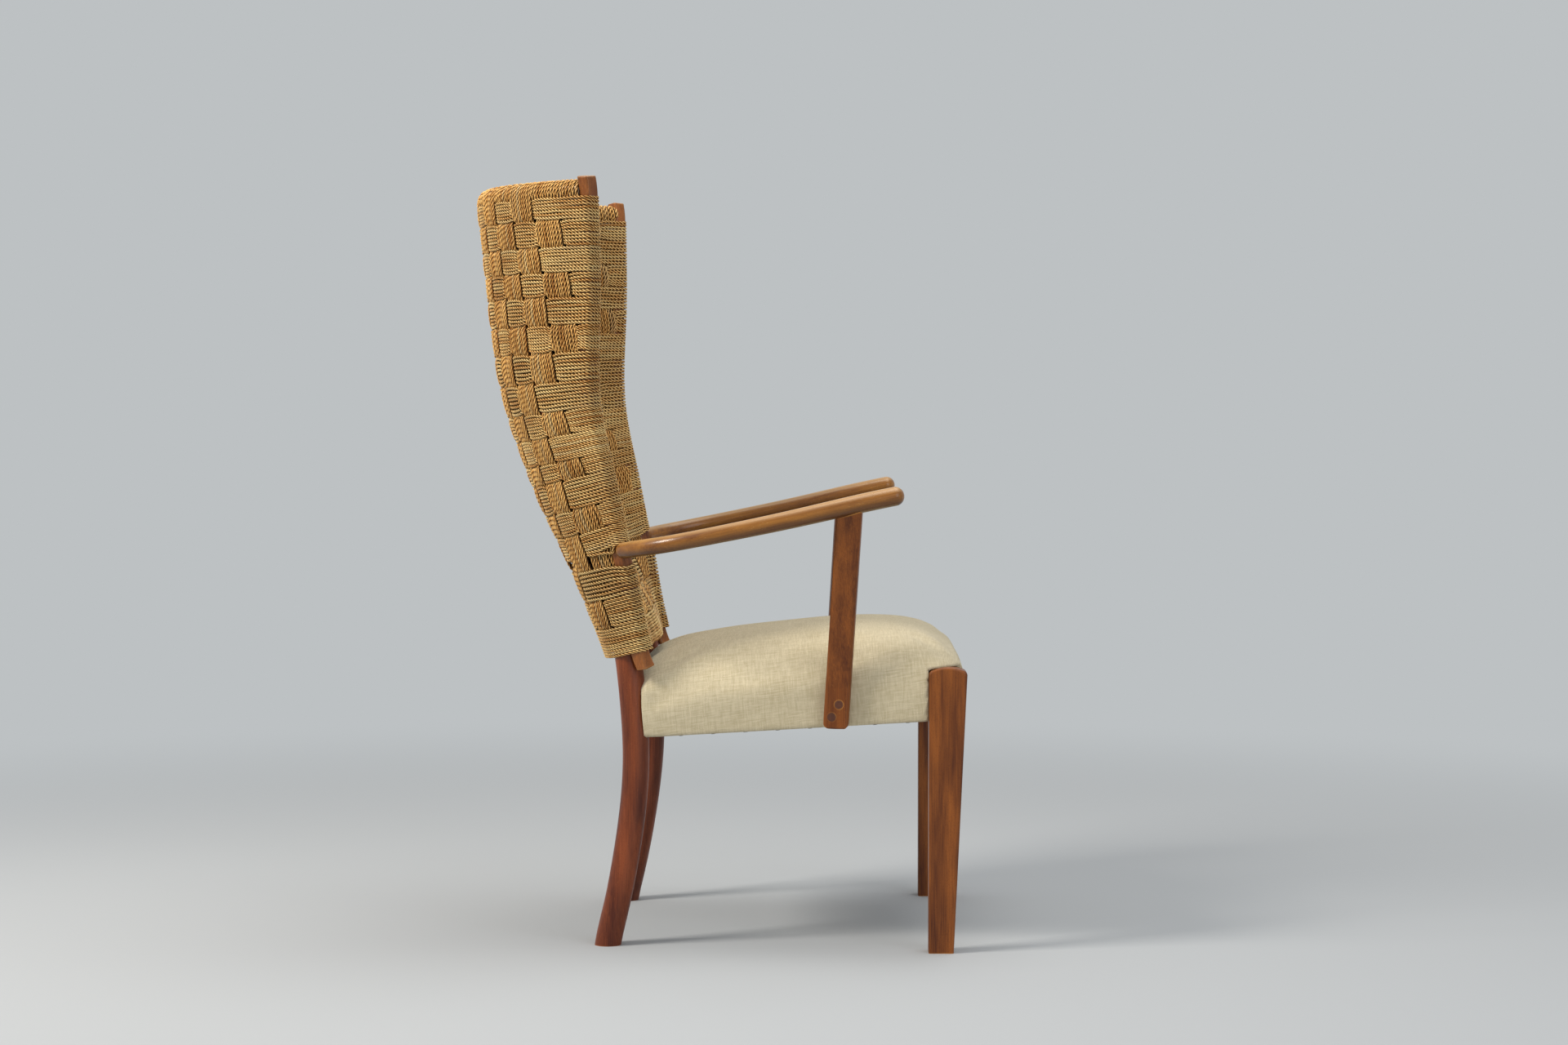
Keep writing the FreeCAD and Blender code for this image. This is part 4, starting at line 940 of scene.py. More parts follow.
class BackFace:
    """One face of the woven back as a grid that can be read at any place."""

    columns = 260
    levels = 170
    turns_over = 14

    def __init__(self, shape: BackShape, side: Side) -> None:
        """Reads the face's outlines level by level.

        Args:
            shape: the back's body.
            side: the face.
        """
        heights = np.linspace(shape.bottom_z - 10 * MM, shape.top_z - shape.top_round, self.levels)
        rows, lengths = [], []
        for z in heights:
            points = shape.outline(z, side)
            run = distances(points)
            rows.append(read_columns(np.linspace(0, run[-1], self.columns + 1), run, points))
            lengths.append(run[-1])
        along = unit(np.gradient(rows[-1], axis=0))
        outward = np.stack([-along[:, 1], along[:, 0]], axis=1) * side.value
        rim = rows[-1]
        for angle in np.linspace(0, math.pi / 2, self.turns_over)[1:]:
            heights = np.append(heights, shape.top_z - shape.top_round * (1 - math.sin(angle)))
            rows.append(rim - outward * shape.top_inset * (1 - math.cos(angle)))
            lengths.append(lengths[-1])
        self.heights, self.grid, self.lengths = heights, np.array(rows), np.array(lengths)

    def length(self, z: np.ndarray) -> np.ndarray:
        """Gives the length of half the outline at some heights."""
        return np.interp(z, self.heights, self.lengths)

    def at(self, share: np.ndarray, z: np.ndarray) -> np.ndarray:
        """Gives the x and y of places on the face.

        Args:
            share: for each place, its share of the way from the middle to the nose, below 0 on the right.
            z: the heights.

        Returns:
            Points in space.
        """
        row = np.interp(z, self.heights, np.arange(len(self.heights)))
        column = np.clip(np.abs(share), 0, 1) * self.columns
        i = np.minimum(row.astype(int), len(self.heights) - 2)
        j = np.minimum(column.astype(int), self.columns - 1)
        a, b = (row - i)[:, None], (column - j)[:, None]
        flat = ((1 - a) * ((1 - b) * self.grid[i, j] + b * self.grid[i, j + 1])
                + a * ((1 - b) * self.grid[i + 1, j] + b * self.grid[i + 1, j + 1]))
        return np.stack([flat[:, 0] * np.where(share < 0, -1, 1), flat[:, 1], z], axis=1)


@dataclass
class WovenBack:
    """The back's weave: level rows of cord round both faces and both stiles, over and under upright bands
    that pass over the top rail."""

    row_tops: tuple = (1.0768, 1.0451, 1.0068, 0.9708, 0.9356, 0.8970, 0.8592, 0.8186, 0.7792, 0.7468,
                       0.7137, 0.6886, 0.6463, 0.6115, 0.5585, 0.5120, 0.4704, 0.4440, 0.4284)
    loose_row: int = 13
    loose_gap: float = 16.0 * MM
    row_cords: tuple = (7, 8, 8, 7, 8, 9, 8, 8, 8, 9, 6, 9, 8, 8, 8, 9, 6, 4)
    band: float = 55.0 * MM
    cords_in_band: int = 9
    band_spread: float = 0.12
    shallow: float = 2.3 * MM
    deep: float = 6.9 * MM
    bulge: float = 1.1 * MM
    crossing: float = 0.2
    level_crossing_share: float = 0.7
    pinch: float = 0.13
    pinch_reaches: tuple[float, float] = (0.16, 0.24)
    stile_room: float = 36.0 * MM
    stile_ease: tuple[float, float] = (3.0 * MM, 5.0 * MM)
    upright_room: float = 29.0 * MM
    edge_room: float = 42.0 * MM
    edge_ease: float = 20.0 * MM
    end_share: float = 0.6
    wobble: float = 0.35 * MM
    wobble_lengths: tuple[float, float] = (60.0 * MM, 70.0 * MM)
    slope_step: float = 4.0 * MM
    foot_run: float = 4.0 * MM
    rounds: int = 6
    quarter_points: int = 240
    upright_points: int = 300
    first_upright: int = 500
    arm_joint: tuple[float, float, float] = (0.2716, 0.1118, 0.575)
    arm_gap: float = 14.5 * MM
    arm_gap_run: float = 30.0 * MM
    arm_gap_reach: float = 50.0 * MM
    # Grime: how much lies all over, where it gathers, and the levels at which hands hold the back.
    grime: float = 0.15
    grime_span: tuple[float, float] = (0.4, 1.1)
    grime_reach: float = 9.0 * MM
    least_held: float = 0.3
    held_from: tuple[float, float] = (0.70, 0.86)
    held_to: tuple[float, float] = (1.05, 0.98)
    low_span: tuple[float, float] = (0.66, 0.50)
    seed: int = 7
    slopes: tuple = ((0.40, 15.0), (0.52, 15.0), (0.62, 16.0), (0.69, 13.0), (0.755, 8.0), (0.83, 3.0),
                     (0.93, 0.0), (1.20, 0.0))

    def __post_init__(self) -> None:
        """Prepares the two faces."""
        self.shape = BackShape()
        self.rear, self.front = BackFace(self.shape, Side.REAR), BackFace(self.shape, Side.FRONT)
        self.rope = Rope()
        self.thick_rope = Rope(crest_radius=2.95 * MM, valley_radius=1.80 * MM, lay=21.0 * MM)
        self.random = np.random.default_rng(self.seed)
        top = np.array([self.shape.top_z - self.shape.top_round])
        self.narrowing = float((self.front.length(top) / self.rear.length(top))[0])
        self.rows = len(self.row_tops) - 1
        self.slope_z = np.array([z for z, _ in self.slopes])
        self.slope_tan = np.tan(np.radians([angle for _, angle in self.slopes]))
        heights = self.rear.heights
        nose = np.array([self.shape.stile(z)[1] for z in heights])
        self.middle_y = (nose + self.rear.grid[:, 0, 1]) / 2
        tops = np.array(self.row_tops)
        nose_y = np.interp(tops, heights, nose)
        self.row_edges = tops.copy()
        for _ in range(self.rounds):
            self.row_edges = tops + (nose_y - self.row_middle(self.row_edges)) * self.slope(self.row_edges)

    def row_bottom(self, row: int) -> float:
        """Gives the height of a row's lowest edge. One row sits high, so that a gap shows under it."""
        return self.row_edges[row + 1] + (self.loose_gap if row == self.loose_row else 0.0)

    def face(self, side: Side) -> BackFace:
        """Gives the grid of one face."""
        return self.rear if side is Side.REAR else self.front

    def slope(self, z: np.ndarray) -> np.ndarray:
        """Gives how steeply the rows rise to the front, at some heights of theirs."""
        return np.interp(z, self.slope_z, self.slope_tan)

    def row_middle(self, z: np.ndarray) -> np.ndarray:
        """Gives the place, front to rear, at which a row has its own height."""
        return np.interp(z, self.rear.heights, self.middle_y)

    def row_place(self, points: np.ndarray) -> np.ndarray:
        """Finds each point's place among the rows.

        Args:
            points: points on a face.

        Returns:
            Their places, from 0 at the top of the first row, and below 0 above it.
        """
        z = points[:, 2].copy()
        for _ in range(self.rounds):
            z = points[:, 2] + (points[:, 1] - self.row_middle(z)) * self.slope(z)
        above = (self.row_edges[0] - z) / (self.row_edges[0] - self.row_edges[1])
        below = self.rows + (self.row_edges[-1] - z) / (self.row_edges[-2] - self.row_edges[-1])
        place = np.interp(-z, -self.row_edges, np.arange(self.rows + 1.0))
        return np.where(above < 0, above, np.where(below > self.rows, below, place))

    def spread_at(self, z: np.ndarray) -> np.ndarray:
        """Gives how far the bands have spread at some heights, as a share of their width at the top."""
        share = (z - self.shape.bottom_z) / (self.shape.top_z - self.shape.bottom_z)
        return 1 + self.band_spread * (1 - np.clip(share, 0, 1))

    def band_width(self, side: Side, z: np.ndarray) -> np.ndarray:
        """Gives the width of a band on one face at some heights."""
        return self.band * (1.0 if side is Side.REAR else self.narrowing) * self.spread_at(z)

    def upright_over(self, side: Side, band: np.ndarray, row: np.ndarray) -> np.ndarray:
        """Tells where the upright band passes over the level row.

        Args:
            side: the face.
            band: the band's number, from 0 up on the left and from -1 down on the right.
            row: the row's number from the top.

        Returns:
            1 where the band is on top and 0 where the row is.
        """
        z = np.interp(row + 0.5, np.arange(self.rows + 1.0), self.row_edges)
        middle = np.abs(band + 0.5) * self.band_width(side, z)
        inside = middle < self.face(side).length(z) - self.edge_room
        over = ((band + row) % 2 == 1) & inside & (row < self.rows - 2)
        return np.where(row < 0, 1.0, over.astype(float))

    def eased(self, before: np.ndarray, after: np.ndarray, place: np.ndarray, width: float) -> np.ndarray:
        """Eases between two values at a border that lies at place 0."""
        share = smooth_step(-width, width, place)
        return before * (1 - share) + after * share

    def wave(self, places: np.ndarray, length: float) -> np.ndarray:
        """Gives a small random waver along a cord.

        Args:
            places: distances along it.
            length: the waver's own length.

        Returns:
            The waver at each place, in metres.
        """
        phases = self.random.uniform(0, 2 * math.pi, 3)
        waves = [np.sin(places * 2 * math.pi / (length * k) + p) / k for k, p in zip((1.0, 1.7, 2.9), phases)]
        return self.wobble * sum(waves)

    def level_cord(self, row: int, number: int) -> Cord:
        """Lays one level cord round both faces and both stiles.

        Args:
            row: its row from the top.
            number: its place in the row.

        Returns:
            The cord.
        """
        quarter = np.linspace(0, 1, self.quarter_points)
        route = [(Side.REAR, quarter), (Side.FRONT, quarter[::-1][1:]), (Side.FRONT, -quarter[1:]),
                 (Side.REAR, -quarter[::-1][1:])]
        top, bottom, count = self.row_edges[row], self.row_bottom(row), self.row_cords[row]
        offset = ((count - 1) / 2 - number) * (top - bottom) / count
        points, depths, rises = [], [], []
        for side, share in route:
            face = self.face(side)
            z = np.full(len(share), (top + bottom) / 2 + offset)
            target = z.copy()
            for _ in range(self.rounds):
                flat = face.at(share, z)
                z = target - (flat[:, 1] - self.row_middle(target)) * self.slope(target)
            along = share * face.length(z) / self.band_width(side, z)
            border = np.round(along)
            over = [self.upright_over(side, border + step, np.full(len(share), row)) for step in (-1, 0)]
            to_nose = face.length(z) * (1 - np.abs(share))
            covered = self.eased(over[0], over[1], along - border, self.crossing * self.level_crossing_share)
            covered *= smooth_step(self.stile_room - self.stile_ease[0], self.stile_room + self.stile_ease[1],
                                   to_nose)
            changing = np.abs(over[1] - over[0]) * np.exp(-((along - border) / self.pinch_reaches[0]) ** 2)
            z = z - offset * self.pinch * changing
            swell = self.bulge * np.sin(math.pi * (along - np.floor(along))) * (1 - covered)
            swell *= smooth_step(self.edge_room, self.edge_room + self.edge_ease, to_nose)
            points.append(face.at(share, z))
            depths.append(self.shallow + (self.deep - self.shallow) * covered - swell)
            rises.append(face.at(share, z + self.slope_step) - face.at(share, z - self.slope_step))
        surface, depth, rise = np.vstack(points), np.concatenate(depths), np.vstack(rises)
        surface = self.parted_round_arms(surface)
        along = np.roll(surface, -1, axis=0) - np.roll(surface, 1, axis=0)
        out = unit(np.cross(rise, along))
        run = distances(surface)
        ripple = self.wave(run, self.wobble_lengths[0])
        fade = np.sin(math.pi * run / run[-1])
        surface = surface + np.outer(ripple * fade, (0, 0, 1))
        line = self.shape.clear_of_stiles(surface - out * depth[:, None], self.rope.crest_radius)
        grime = self.grime_at(line)
        line = np.vstack([line, line[:1]])
        extras = np.hstack([np.vstack([out, out[:1]]), np.append(grime, grime[0])[:, None]])
        line, extras = respaced(line, extras, self.rope.step, True)
        return Cord(line, extras[:, :3], extras[:, 3], True)

    def grime_at(self, points: np.ndarray) -> np.ndarray:
        """Gives how grimy the cords are, most of all where they turn round the stiles and low down.

        Args:
            points: the cord's points.

        Returns:
            The grime at each point, from 0 to 1.
        """
        heights = np.linspace(*self.grime_span, 40)
        nose = read_columns(points[:, 2], heights, np.array([self.shape.nose(z) for z in heights]))
        away = np.hypot(np.abs(points[:, 0]) - nose[:, 0], points[:, 1] - nose[:, 1])
        held = smooth_step(*self.held_from, points[:, 2]) * smooth_step(*self.held_to, points[:, 2])
        at_nose = (self.least_held + (1 - self.least_held) * held) * np.exp(-(away / self.grime_reach) ** 2)
        return self.grime * at_nose + self.grime * smooth_step(*self.low_span, points[:, 2])

    def parted_round_arms(self, points: np.ndarray) -> np.ndarray:
        """Parts the level cords above and below the arms' rear ends.

        Args:
            points: points of the level cords.

        Returns:
            The points, moved up or down where an arm passes between them.
        """
        x, y, z = self.arm_joint
        away = np.hypot(np.abs(points[:, 0]) - x, points[:, 1] - y)
        gap = self.arm_gap * np.exp(-(away / self.arm_gap_run) ** 2)
        rise = points[:, 2] - z
        near = np.abs(rise) < self.arm_gap_reach
        moved = np.where(rise < 0, -1, 1) * (gap + np.abs(rise) * (1 - gap / self.arm_gap_reach))
        points = points.copy()
        points[:, 2] = np.where(near, z + moved, points[:, 2])
        return points

    def upright_cord(self, band: int, number: int) -> Cord | None:
        """Lays one upright cord up the rear face, over the top rail and down the front face.

        Args:
            band: its band.
            number: its place in the band.

        Returns:
            The cord, or None where a stile leaves no room for it.
        """
        place_in_band = number - (self.cords_in_band - 1) / 2
        pitch = self.band / self.cords_in_band
        middle, aside = (band + 0.5) * self.band, place_in_band * pitch
        rail_z = self.shape.top_z - self.shape.top_round
        below = np.linspace(self.shape.bottom_z - self.foot_run, rail_z, self.upright_points)
        heights = np.concatenate([below, self.rear.heights[self.rear.heights > rail_z + MM / 10]])
        lines, depths, sides = [], [], []
        for side in (Side.REAR, Side.FRONT):
            face = self.face(side)
            scale = (1.0 if side is Side.REAR else self.narrowing) * self.spread_at(heights)
            rough = face.at(np.clip((middle + aside) * scale / face.length(heights), -1, 1), heights)
            row_place = self.row_place(rough)
            border = np.round(row_place)
            over = [self.upright_over(side, np.full(len(heights), band), border + step) for step in (-1, 0)]
            shown = self.eased(over[0], over[1], row_place - border, self.crossing)
            near = np.exp(-((row_place - border) / self.pinch_reaches[1]) ** 2)
            changing = np.abs(over[1] - over[0]) * near * (border > 0)
            inside = row_place - np.floor(row_place)
            swell = self.bulge * np.sin(math.pi * inside) * shown * (row_place > 0)
            along = (middle + aside * (1 - self.pinch * changing)) * scale
            room = face.length(heights) - self.upright_room - np.abs(along)
            if room[-1] < 0:
                return None
            blocked = np.nonzero((room < 0) | (row_place > self.rows - self.end_share))[0]
            start = blocked[-1] + 1 if len(blocked) else 0
            share = along / face.length(heights)
            surface = face.at(share, heights)
            beside = face.at(share + 0.01, heights) - face.at(share - 0.01, heights)
            depth = self.shallow + (self.deep - self.shallow) * (1 - shown) - swell
            way = slice(start, None) if side is Side.REAR else slice(None, start - 1 if start else None, -1)
            lines.append(surface[way])
            depths.append(depth[way])
            sides.append(beside[way])
        surface, depth, beside = np.vstack(lines), np.concatenate(depths), np.vstack(sides)
        along = np.gradient(surface, axis=0)
        out, beside = unit(np.cross(along, beside)), unit(beside)
        run = distances(surface)
        line = surface - out * depth[:, None] + beside * self.wave(run, self.wobble_lengths[1])[:, None]
        grime = self.grime_at(line)[:, None]
        line, extras = respaced(line, np.hstack([out, grime]), self.thick_rope.step, False)
        return Cord(line, extras[:, :3], extras[:, 3], False)

    def build(self) -> list[bpy.types.Object]:
        """Makes the level rows and the upright bands.

        Returns:
            The pieces, which stand for the solid weave.
        """
        pieces, laid = [], 0
        for row in range(self.rows):
            cords = [self.level_cord(row, number) for number in range(self.row_cords[row])]
            pieces.append(self.rope.piece(f"weave_row_{row + 1:02d}", cords, LEVEL_CORD, laid))
            laid += len(cords)
        reach = int(self.rear.lengths.max() / self.band) + 1
        for band in range(-reach, reach):
            cords = [self.upright_cord(band, number) for number in range(self.cords_in_band)]
            cords = [cord for cord in cords if cord is not None]
            if cords:
                name = f"weave_band_{band + reach + 1:02d}"
                first = self.first_upright + band * self.cords_in_band
                pieces.append(self.thick_rope.piece(name, cords, UPRIGHT_CORD, first))
        for piece in pieces:
            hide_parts("back_weave")
        log.info("woven back: %d pieces", len(pieces))
        return pieces


# Seat


@dataclass
class Seat:
    """The upholstered seat: its linen cover, stuffing, hessian, webbing and dust cover, on a plane that
    slopes down to the rear."""

    tilt: float = 4.0
    pivot_y: float = -0.3075
    pivot_z: float = 0.330
    front_rail_y: float = -0.3545
    rear_rail_y: float = 0.126
    side_front_half: float = 0.272
    side_rear_half: float = 0.226
    side_run: float = 0.4025
    side_gap: float = 0.007
    front_gap: float = 0.0095
    rear_gap: float = 0.003
    crown: float = 0.143
    rear_drop: float = 0.012
    side_share: float = 0.34
    square_shares: tuple[float, float] = (0.70, 0.80)
    corner_shares: tuple[float, float] = (0.12, 0.80)
    foot_draw: float = 0.012
    flange_level: float = 0.0010
    around: int = 72
    leg_inner: float = 0.2425
    leg_rear: float = -0.3070
    leg_top: float = 0.4055
    post_half: float = 0.212
    post_radius: float = 0.0198
    post_fold: float = 42.0
    post_points: int = 9
    post_places: tuple = ((0.280, 0.1140), (0.320, 0.1155), (0.360, 0.1187), (0.400, 0.1232),
                          (0.440, 0.1287), (0.460, 0.1327))
    # The soft hollow along each side: its depth and reach, the level and place it runs through, how it
    # climbs to the rear, and the spans over which it fades along and across.
    hollow: float = 1.6 * MM
    hollow_reach: float = 20.0 * MM
    hollow_place: tuple[float, float] = (0.405, 0.1)
    hollow_rise: float = 0.03
    hollow_span: tuple[float, float] = (0.06, -0.22)
    hollow_sides: tuple[float, float] = (0.15, 0.22)
    # The pulls at the legs' top corners: their depth, reach and place, and how far each way counts.
    pull: float = 3.5 * MM
    pull_reach: float = 10.0 * MM
    pull_offset: float = 4.0 * MM
    pull_shares: tuple[float, float, float] = (1.0, 0.9, 0.6)
    rail_level: float = 0.0063
    rail_height: float = 0.052
    voxel: float = 9.0 * MM
    pressure: float = 4.0
    shrink: float = 0.01
    broad: float = 28.0 * MM
    furthest: float = 2.5 * MM
    slack: float = 6.0 * MM
    settle_frames: int = 18
    # How the cover settles: held below these levels, and how stiff the cloth is against pull and bend.
    held_levels: tuple[float, float] = (0.055, 0.030)
    stiffness: float = 30.0
    bending: float = 2.0
    neighbours: int = 8
    spring_rise: float = 44.0 * MM
    sheet_side: int = 24
    # The webbing: straps across below straps along, evenly spaced each side of the middle one.
    strap_width: float = 50.0 * MM
    strap_thickness: float = 2.0 * MM
    strap_margin: float = 7.0 * MM
    strap_places: tuple[float, float] = (118.0 * MM, 125.0 * MM)
    strap_levels: tuple[float, float] = (2.3 * MM, 4.3 * MM)
    strap_cuts: int = 40

    def side_x(self, y: float) -> float:
        """Gives how far out the side rails' outer faces lie."""
        narrowing = self.side_rear_half - self.side_front_half
        return self.side_front_half + narrowing * (y - self.pivot_y) / self.side_run

    def tilted(self, points: np.ndarray) -> np.ndarray:
        """Turns points given above a level seat onto the slope.

        Args:
            points: points with their level above the seat's lowest plane as z.

        Returns:
            The points in space.
        """
        angle = math.radians(-self.tilt)
        y, z = points[:, 1] - self.pivot_y, points[:, 2]
        turned = points.copy()
        turned[:, 1] = self.pivot_y + y * math.cos(angle) - z * math.sin(angle)
        turned[:, 2] = self.pivot_z + y * math.sin(angle) + z * math.cos(angle)
        return turned

    def outline(self, draw: float, gap: float) -> np.ndarray:
        """Gives one level outline of the padding.

        Args:
            draw: its share of the way in to the middle.
            gap: how far it lies inside the padding's faces.

        Returns:
            Points as x and y, anticlockwise from the front left corner.
        """
        front, rear = self.front_rail_y - self.front_gap, self.rear_rail_y + self.rear_gap
        half_run = (rear - front) / 2
        y0, y1 = front + half_run * draw + gap, rear - half_run * draw - gap
        front_half = max((self.side_x(front) + self.side_gap) * (1 - draw) - gap, 1e-5)
        rear_half = max((self.side_x(rear) + self.side_gap) * (1 - draw) - gap, 1e-5)
        share = self.corner_shares[0] + (self.corner_shares[1] - self.corner_shares[0]) * math.sqrt(draw)
        radius = min(rear_half, (y1 - y0) / 2) * share
        corners = [Vector(corner) for corner in ((front_half, y0), (rear_half, y1), (-rear_half, y1),
                                                 (-front_half, y0))]
        points = []
        for i, corner in enumerate(corners):
            following = corners[(i + 1) % 4]
            before, after = (corners[i - 1] - corner).normalized(), (following - corner).normalized()
            half_angle = before.angle(after) / 2
            back = radius / math.tan(half_angle)
            start, end = corner + before * back, corner + after * back
            centre = corner + (before + after).normalized() * (radius / math.sin(half_angle))
            first = math.atan2(start.y - centre.y, start.x - centre.x)
            last = math.atan2(end.y - centre.y, end.x - centre.x)
            last += 2 * math.pi if last < first else 0
            arc = self.around // 3
            for k in range(arc):
                angle = first + (last - first) * k / arc
                points.append((centre.x + radius * math.cos(angle), centre.y + radius * math.sin(angle)))
            to_next = (corner - following).normalized()
            next_back = radius / math.tan((corners[(i + 2) % 4] - following).angle(corner - following) / 2)
            finish = following + to_next * next_back
            for k in range(self.around - arc):
                step = k / (self.around - arc)
                points.append((end.x + (finish.x - end.x) * step, end.y + (finish.y - end.y) * step))
        return np.array(points)

    def crossing(self, outside: np.ndarray, inside: np.ndarray, axis: int, value: float) -> np.ndarray:
        """Gives where the line between two points meets a plane square to one axis."""
        return outside + (inside - outside) * (value - outside[axis]) / (inside[axis] - outside[axis])

    def within(self, places: np.ndarray, outline: np.ndarray) -> np.ndarray:
        """Tells which places lie inside an outline, as seen from its middle.

        Args:
            places: the places, as x and y.
            outline: the outline's points, as x and y.

        Returns:
            True for each place inside.
        """
        middle = np.array([0.0, (outline[:, 1].min() + outline[:, 1].max()) / 2])
        rim, sought = outline - middle, places - middle
        turns = np.arctan2(rim[:, 1], rim[:, 0])
        order = np.argsort(turns)
        reach = np.hypot(rim[:, 0], rim[:, 1])[order]
        limit = np.interp(np.arctan2(sought[:, 1], sought[:, 0]), turns[order], reach)
        return np.hypot(sought[:, 0], sought[:, 1]) < limit

    def notched(self, points: np.ndarray) -> np.ndarray:
        """Draws an outline in round the front legs and the rear posts.

        Args:
            points: the outline on the seat's slope, in space.

        Returns:
            The outline with its corners folded round the wood.
        """
        post_z, post_y = np.array(self.post_places).T
        centre = float(np.interp(points[np.argmax(points[:, 1]), 2], post_z, post_y))
        turns = np.radians(np.linspace(-self.post_fold, -180, self.post_points))
        round_post = np.stack([self.post_half + self.post_radius * np.cos(turns),
                               centre + self.post_radius * np.sin(turns)], axis=1)
        leg_corner = np.array([[self.leg_inner, self.leg_rear]])
        for fold, inner, edge, forward, top in (
                (leg_corner, self.leg_inner, self.leg_rear, -1, self.leg_top),
                (round_post, self.post_half - self.post_radius, float(round_post[0, 1]), 1, 9.0)):
            for way in (1, -1):
                x, y = points[:, 0] * way, points[:, 1]
                inside = (x > inner) & ((y - edge) * forward > 0)
                if not inside.any() or points[inside, 2].mean() > top:
                    continue
                order = np.nonzero(inside)[0]
                breaks = np.nonzero(np.diff(order) > 1)[0]
                if len(breaks):
                    order = np.concatenate([order[breaks[0] + 1:], order[:breaks[0] + 1]])
                beside, across = points[order[0] - 1], points[(order[-1] + 1) % len(points)]
                if (beside[1] - edge) * forward > 0:
                    order, beside, across = order[::-1], across, beside
                start = self.crossing(beside, points[order[0]], 1, edge)
                finish = self.crossing(across, points[order[-1]], 0, inner * way)
                kept = fold[self.within(fold, points[:, :2] * (way, 1))]
                if not len(kept):
                    continue
                level = np.full((len(kept), 1), points[order, 2].mean())
                path = np.vstack([start, np.hstack([kept * (way, 1), level]), finish])
                run = distances(path)
                places = np.linspace(0, run[-1], len(order))
                for corner in run[1:-1:max(1, len(kept) - 1)]:
                    places[np.argmin(np.abs(places - corner))] = corner
                points[order] = read_columns(places, run, path)
        return points

    def body(self, gap: float,
             levels: list[tuple[float, float]]) -> tuple[np.ndarray, np.ndarray, np.ndarray]:
        """Lofts a closed padded form through outlines.

        Args:
            gap: how far the form lies inside the padding's faces.
            levels: for each outline its share of the way in and its level above the seat's lowest plane.

        Returns:
            Vertices, four-cornered faces, and each face corner's place on the cloth in metres.
        """
        widest = self.outline(0.0, gap)
        middle_y = (widest[:, 1].min() + widest[:, 1].max()) / 2
        rings, beside_maps, end_maps = [], [], []
        travel, last = np.zeros((len(widest), 2)), None
        for draw, level in reversed(levels):
            flat = self.outline(min(draw, 0.9995), gap)
            rise = max(0.0, level - self.flange_level - self.crown * self.side_share)
            share = (flat[:, 1] - self.front_rail_y) / (self.rear_rail_y - self.front_rail_y)
            drop = self.rear_drop * rise / (self.crown * (1 - self.side_share)) * share
            reach = np.abs(flat - (0, middle_y))
            travel = reach if last is None else travel + np.hypot(reach - last[0], level - last[1])
            last = (reach, level)
            rings.append(self.notched(self.tilted(np.column_stack([flat, level - drop]))))
            signs = np.sign(flat - (0, middle_y))
            beside_maps.append(np.column_stack([flat[:, 1] - middle_y, signs[:, 0] * travel[:, 0]]))
            end_maps.append(np.column_stack([signs[:, 1] * travel[:, 1], flat[:, 0]]))
        faces = loft_faces(len(rings), len(widest))
        edges = np.abs(np.roll(widest, -1, axis=0) - widest)
        at_end = np.tile((edges[:, 0] > edges[:, 1]).astype(int), len(rings) - 1)
        maps = np.stack([np.vstack(beside_maps[::-1]), np.vstack(end_maps[::-1])])
        return np.vstack(rings[::-1]), faces, maps[at_end[:, None], faces]

    def crown_levels(self, gap: float, steps: int) -> list[tuple[float, float]]:
        """Gives the outlines of the padding's dome, from its upright side to its top.

        Args:
            gap: how far the form lies inside the padding's faces.
            steps: how many outlines there are.

        Returns:
            For each outline its share of the way in and its level.
        """
        side_top = self.flange_level + self.crown * self.side_share
        dome = self.crown * (1 - self.side_share) - gap
        levels = []
        for share in np.linspace(0, 1, steps):
            angle = share * math.pi / 2
            levels.append((1 - max(math.cos(angle), 0) ** self.square_shares[0],
                           side_top + dome * math.sin(angle) ** self.square_shares[1]))
        return levels

    def cover(self) -> bpy.types.Object:
        """Makes the linen cover, pulled over the crown, round the legs and under the rails.

        Returns:
            The cover.
        """
        side_top, foot = self.flange_level + self.crown * self.side_share, self.flange_level + 3 * MM
        under = [(0.9995, self.flange_level + 0.5 * MM), (0.5, self.flange_level), (0.12, self.flange_level),
                 (0.03, self.flange_level), (0.018, self.flange_level + 0.8 * MM)]
        side = [(self.foot_draw * (1 - s) ** 2, foot + (side_top - self.flange_level - 3 * MM) * s)
                for s in np.linspace(0, 1, 10)[:-1]]
        points, faces, places = self.body(0.0, under + side + self.crown_levels(0.0, 40))
        points = self.creased(points)
        piece = new_piece("seat_cover_linen", points, faces, LINEN)
        set_uv(piece, "cloth", places.reshape(-1, 2))
        self.settled(piece)
        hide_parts("seat_cover")
        return piece

    def creased(self, points: np.ndarray) -> np.ndarray:
        """Adds the soft hollow along each side and the pulls at the legs' top corners.

        Args:
            points: the cover's points.

        Returns:
            The points, drawn in.
        """
        level, forward = self.hollow_place
        crease_z = level + self.hollow_rise * (points[:, 1] + forward)
        near = np.exp(-((points[:, 2] - crease_z) / self.hollow_reach) ** 2)
        along = smooth_step(*self.hollow_span, points[:, 1])
        inward = self.hollow * near * along * smooth_step(*self.hollow_sides, np.abs(points[:, 0]))
        corner = (self.side_x(self.leg_rear), self.leg_rear + self.pull_offset,
                  self.leg_top + self.pull_offset)
        apart = (np.column_stack([np.abs(points[:, 0]), points[:, 1:]]) - corner) * self.pull_shares
        inward += self.pull * np.exp(-(np.linalg.norm(apart, axis=1) / self.pull_reach) ** 2)
        points = points.copy()
        points[:, 0] -= np.sign(points[:, 0]) * inward
        return points

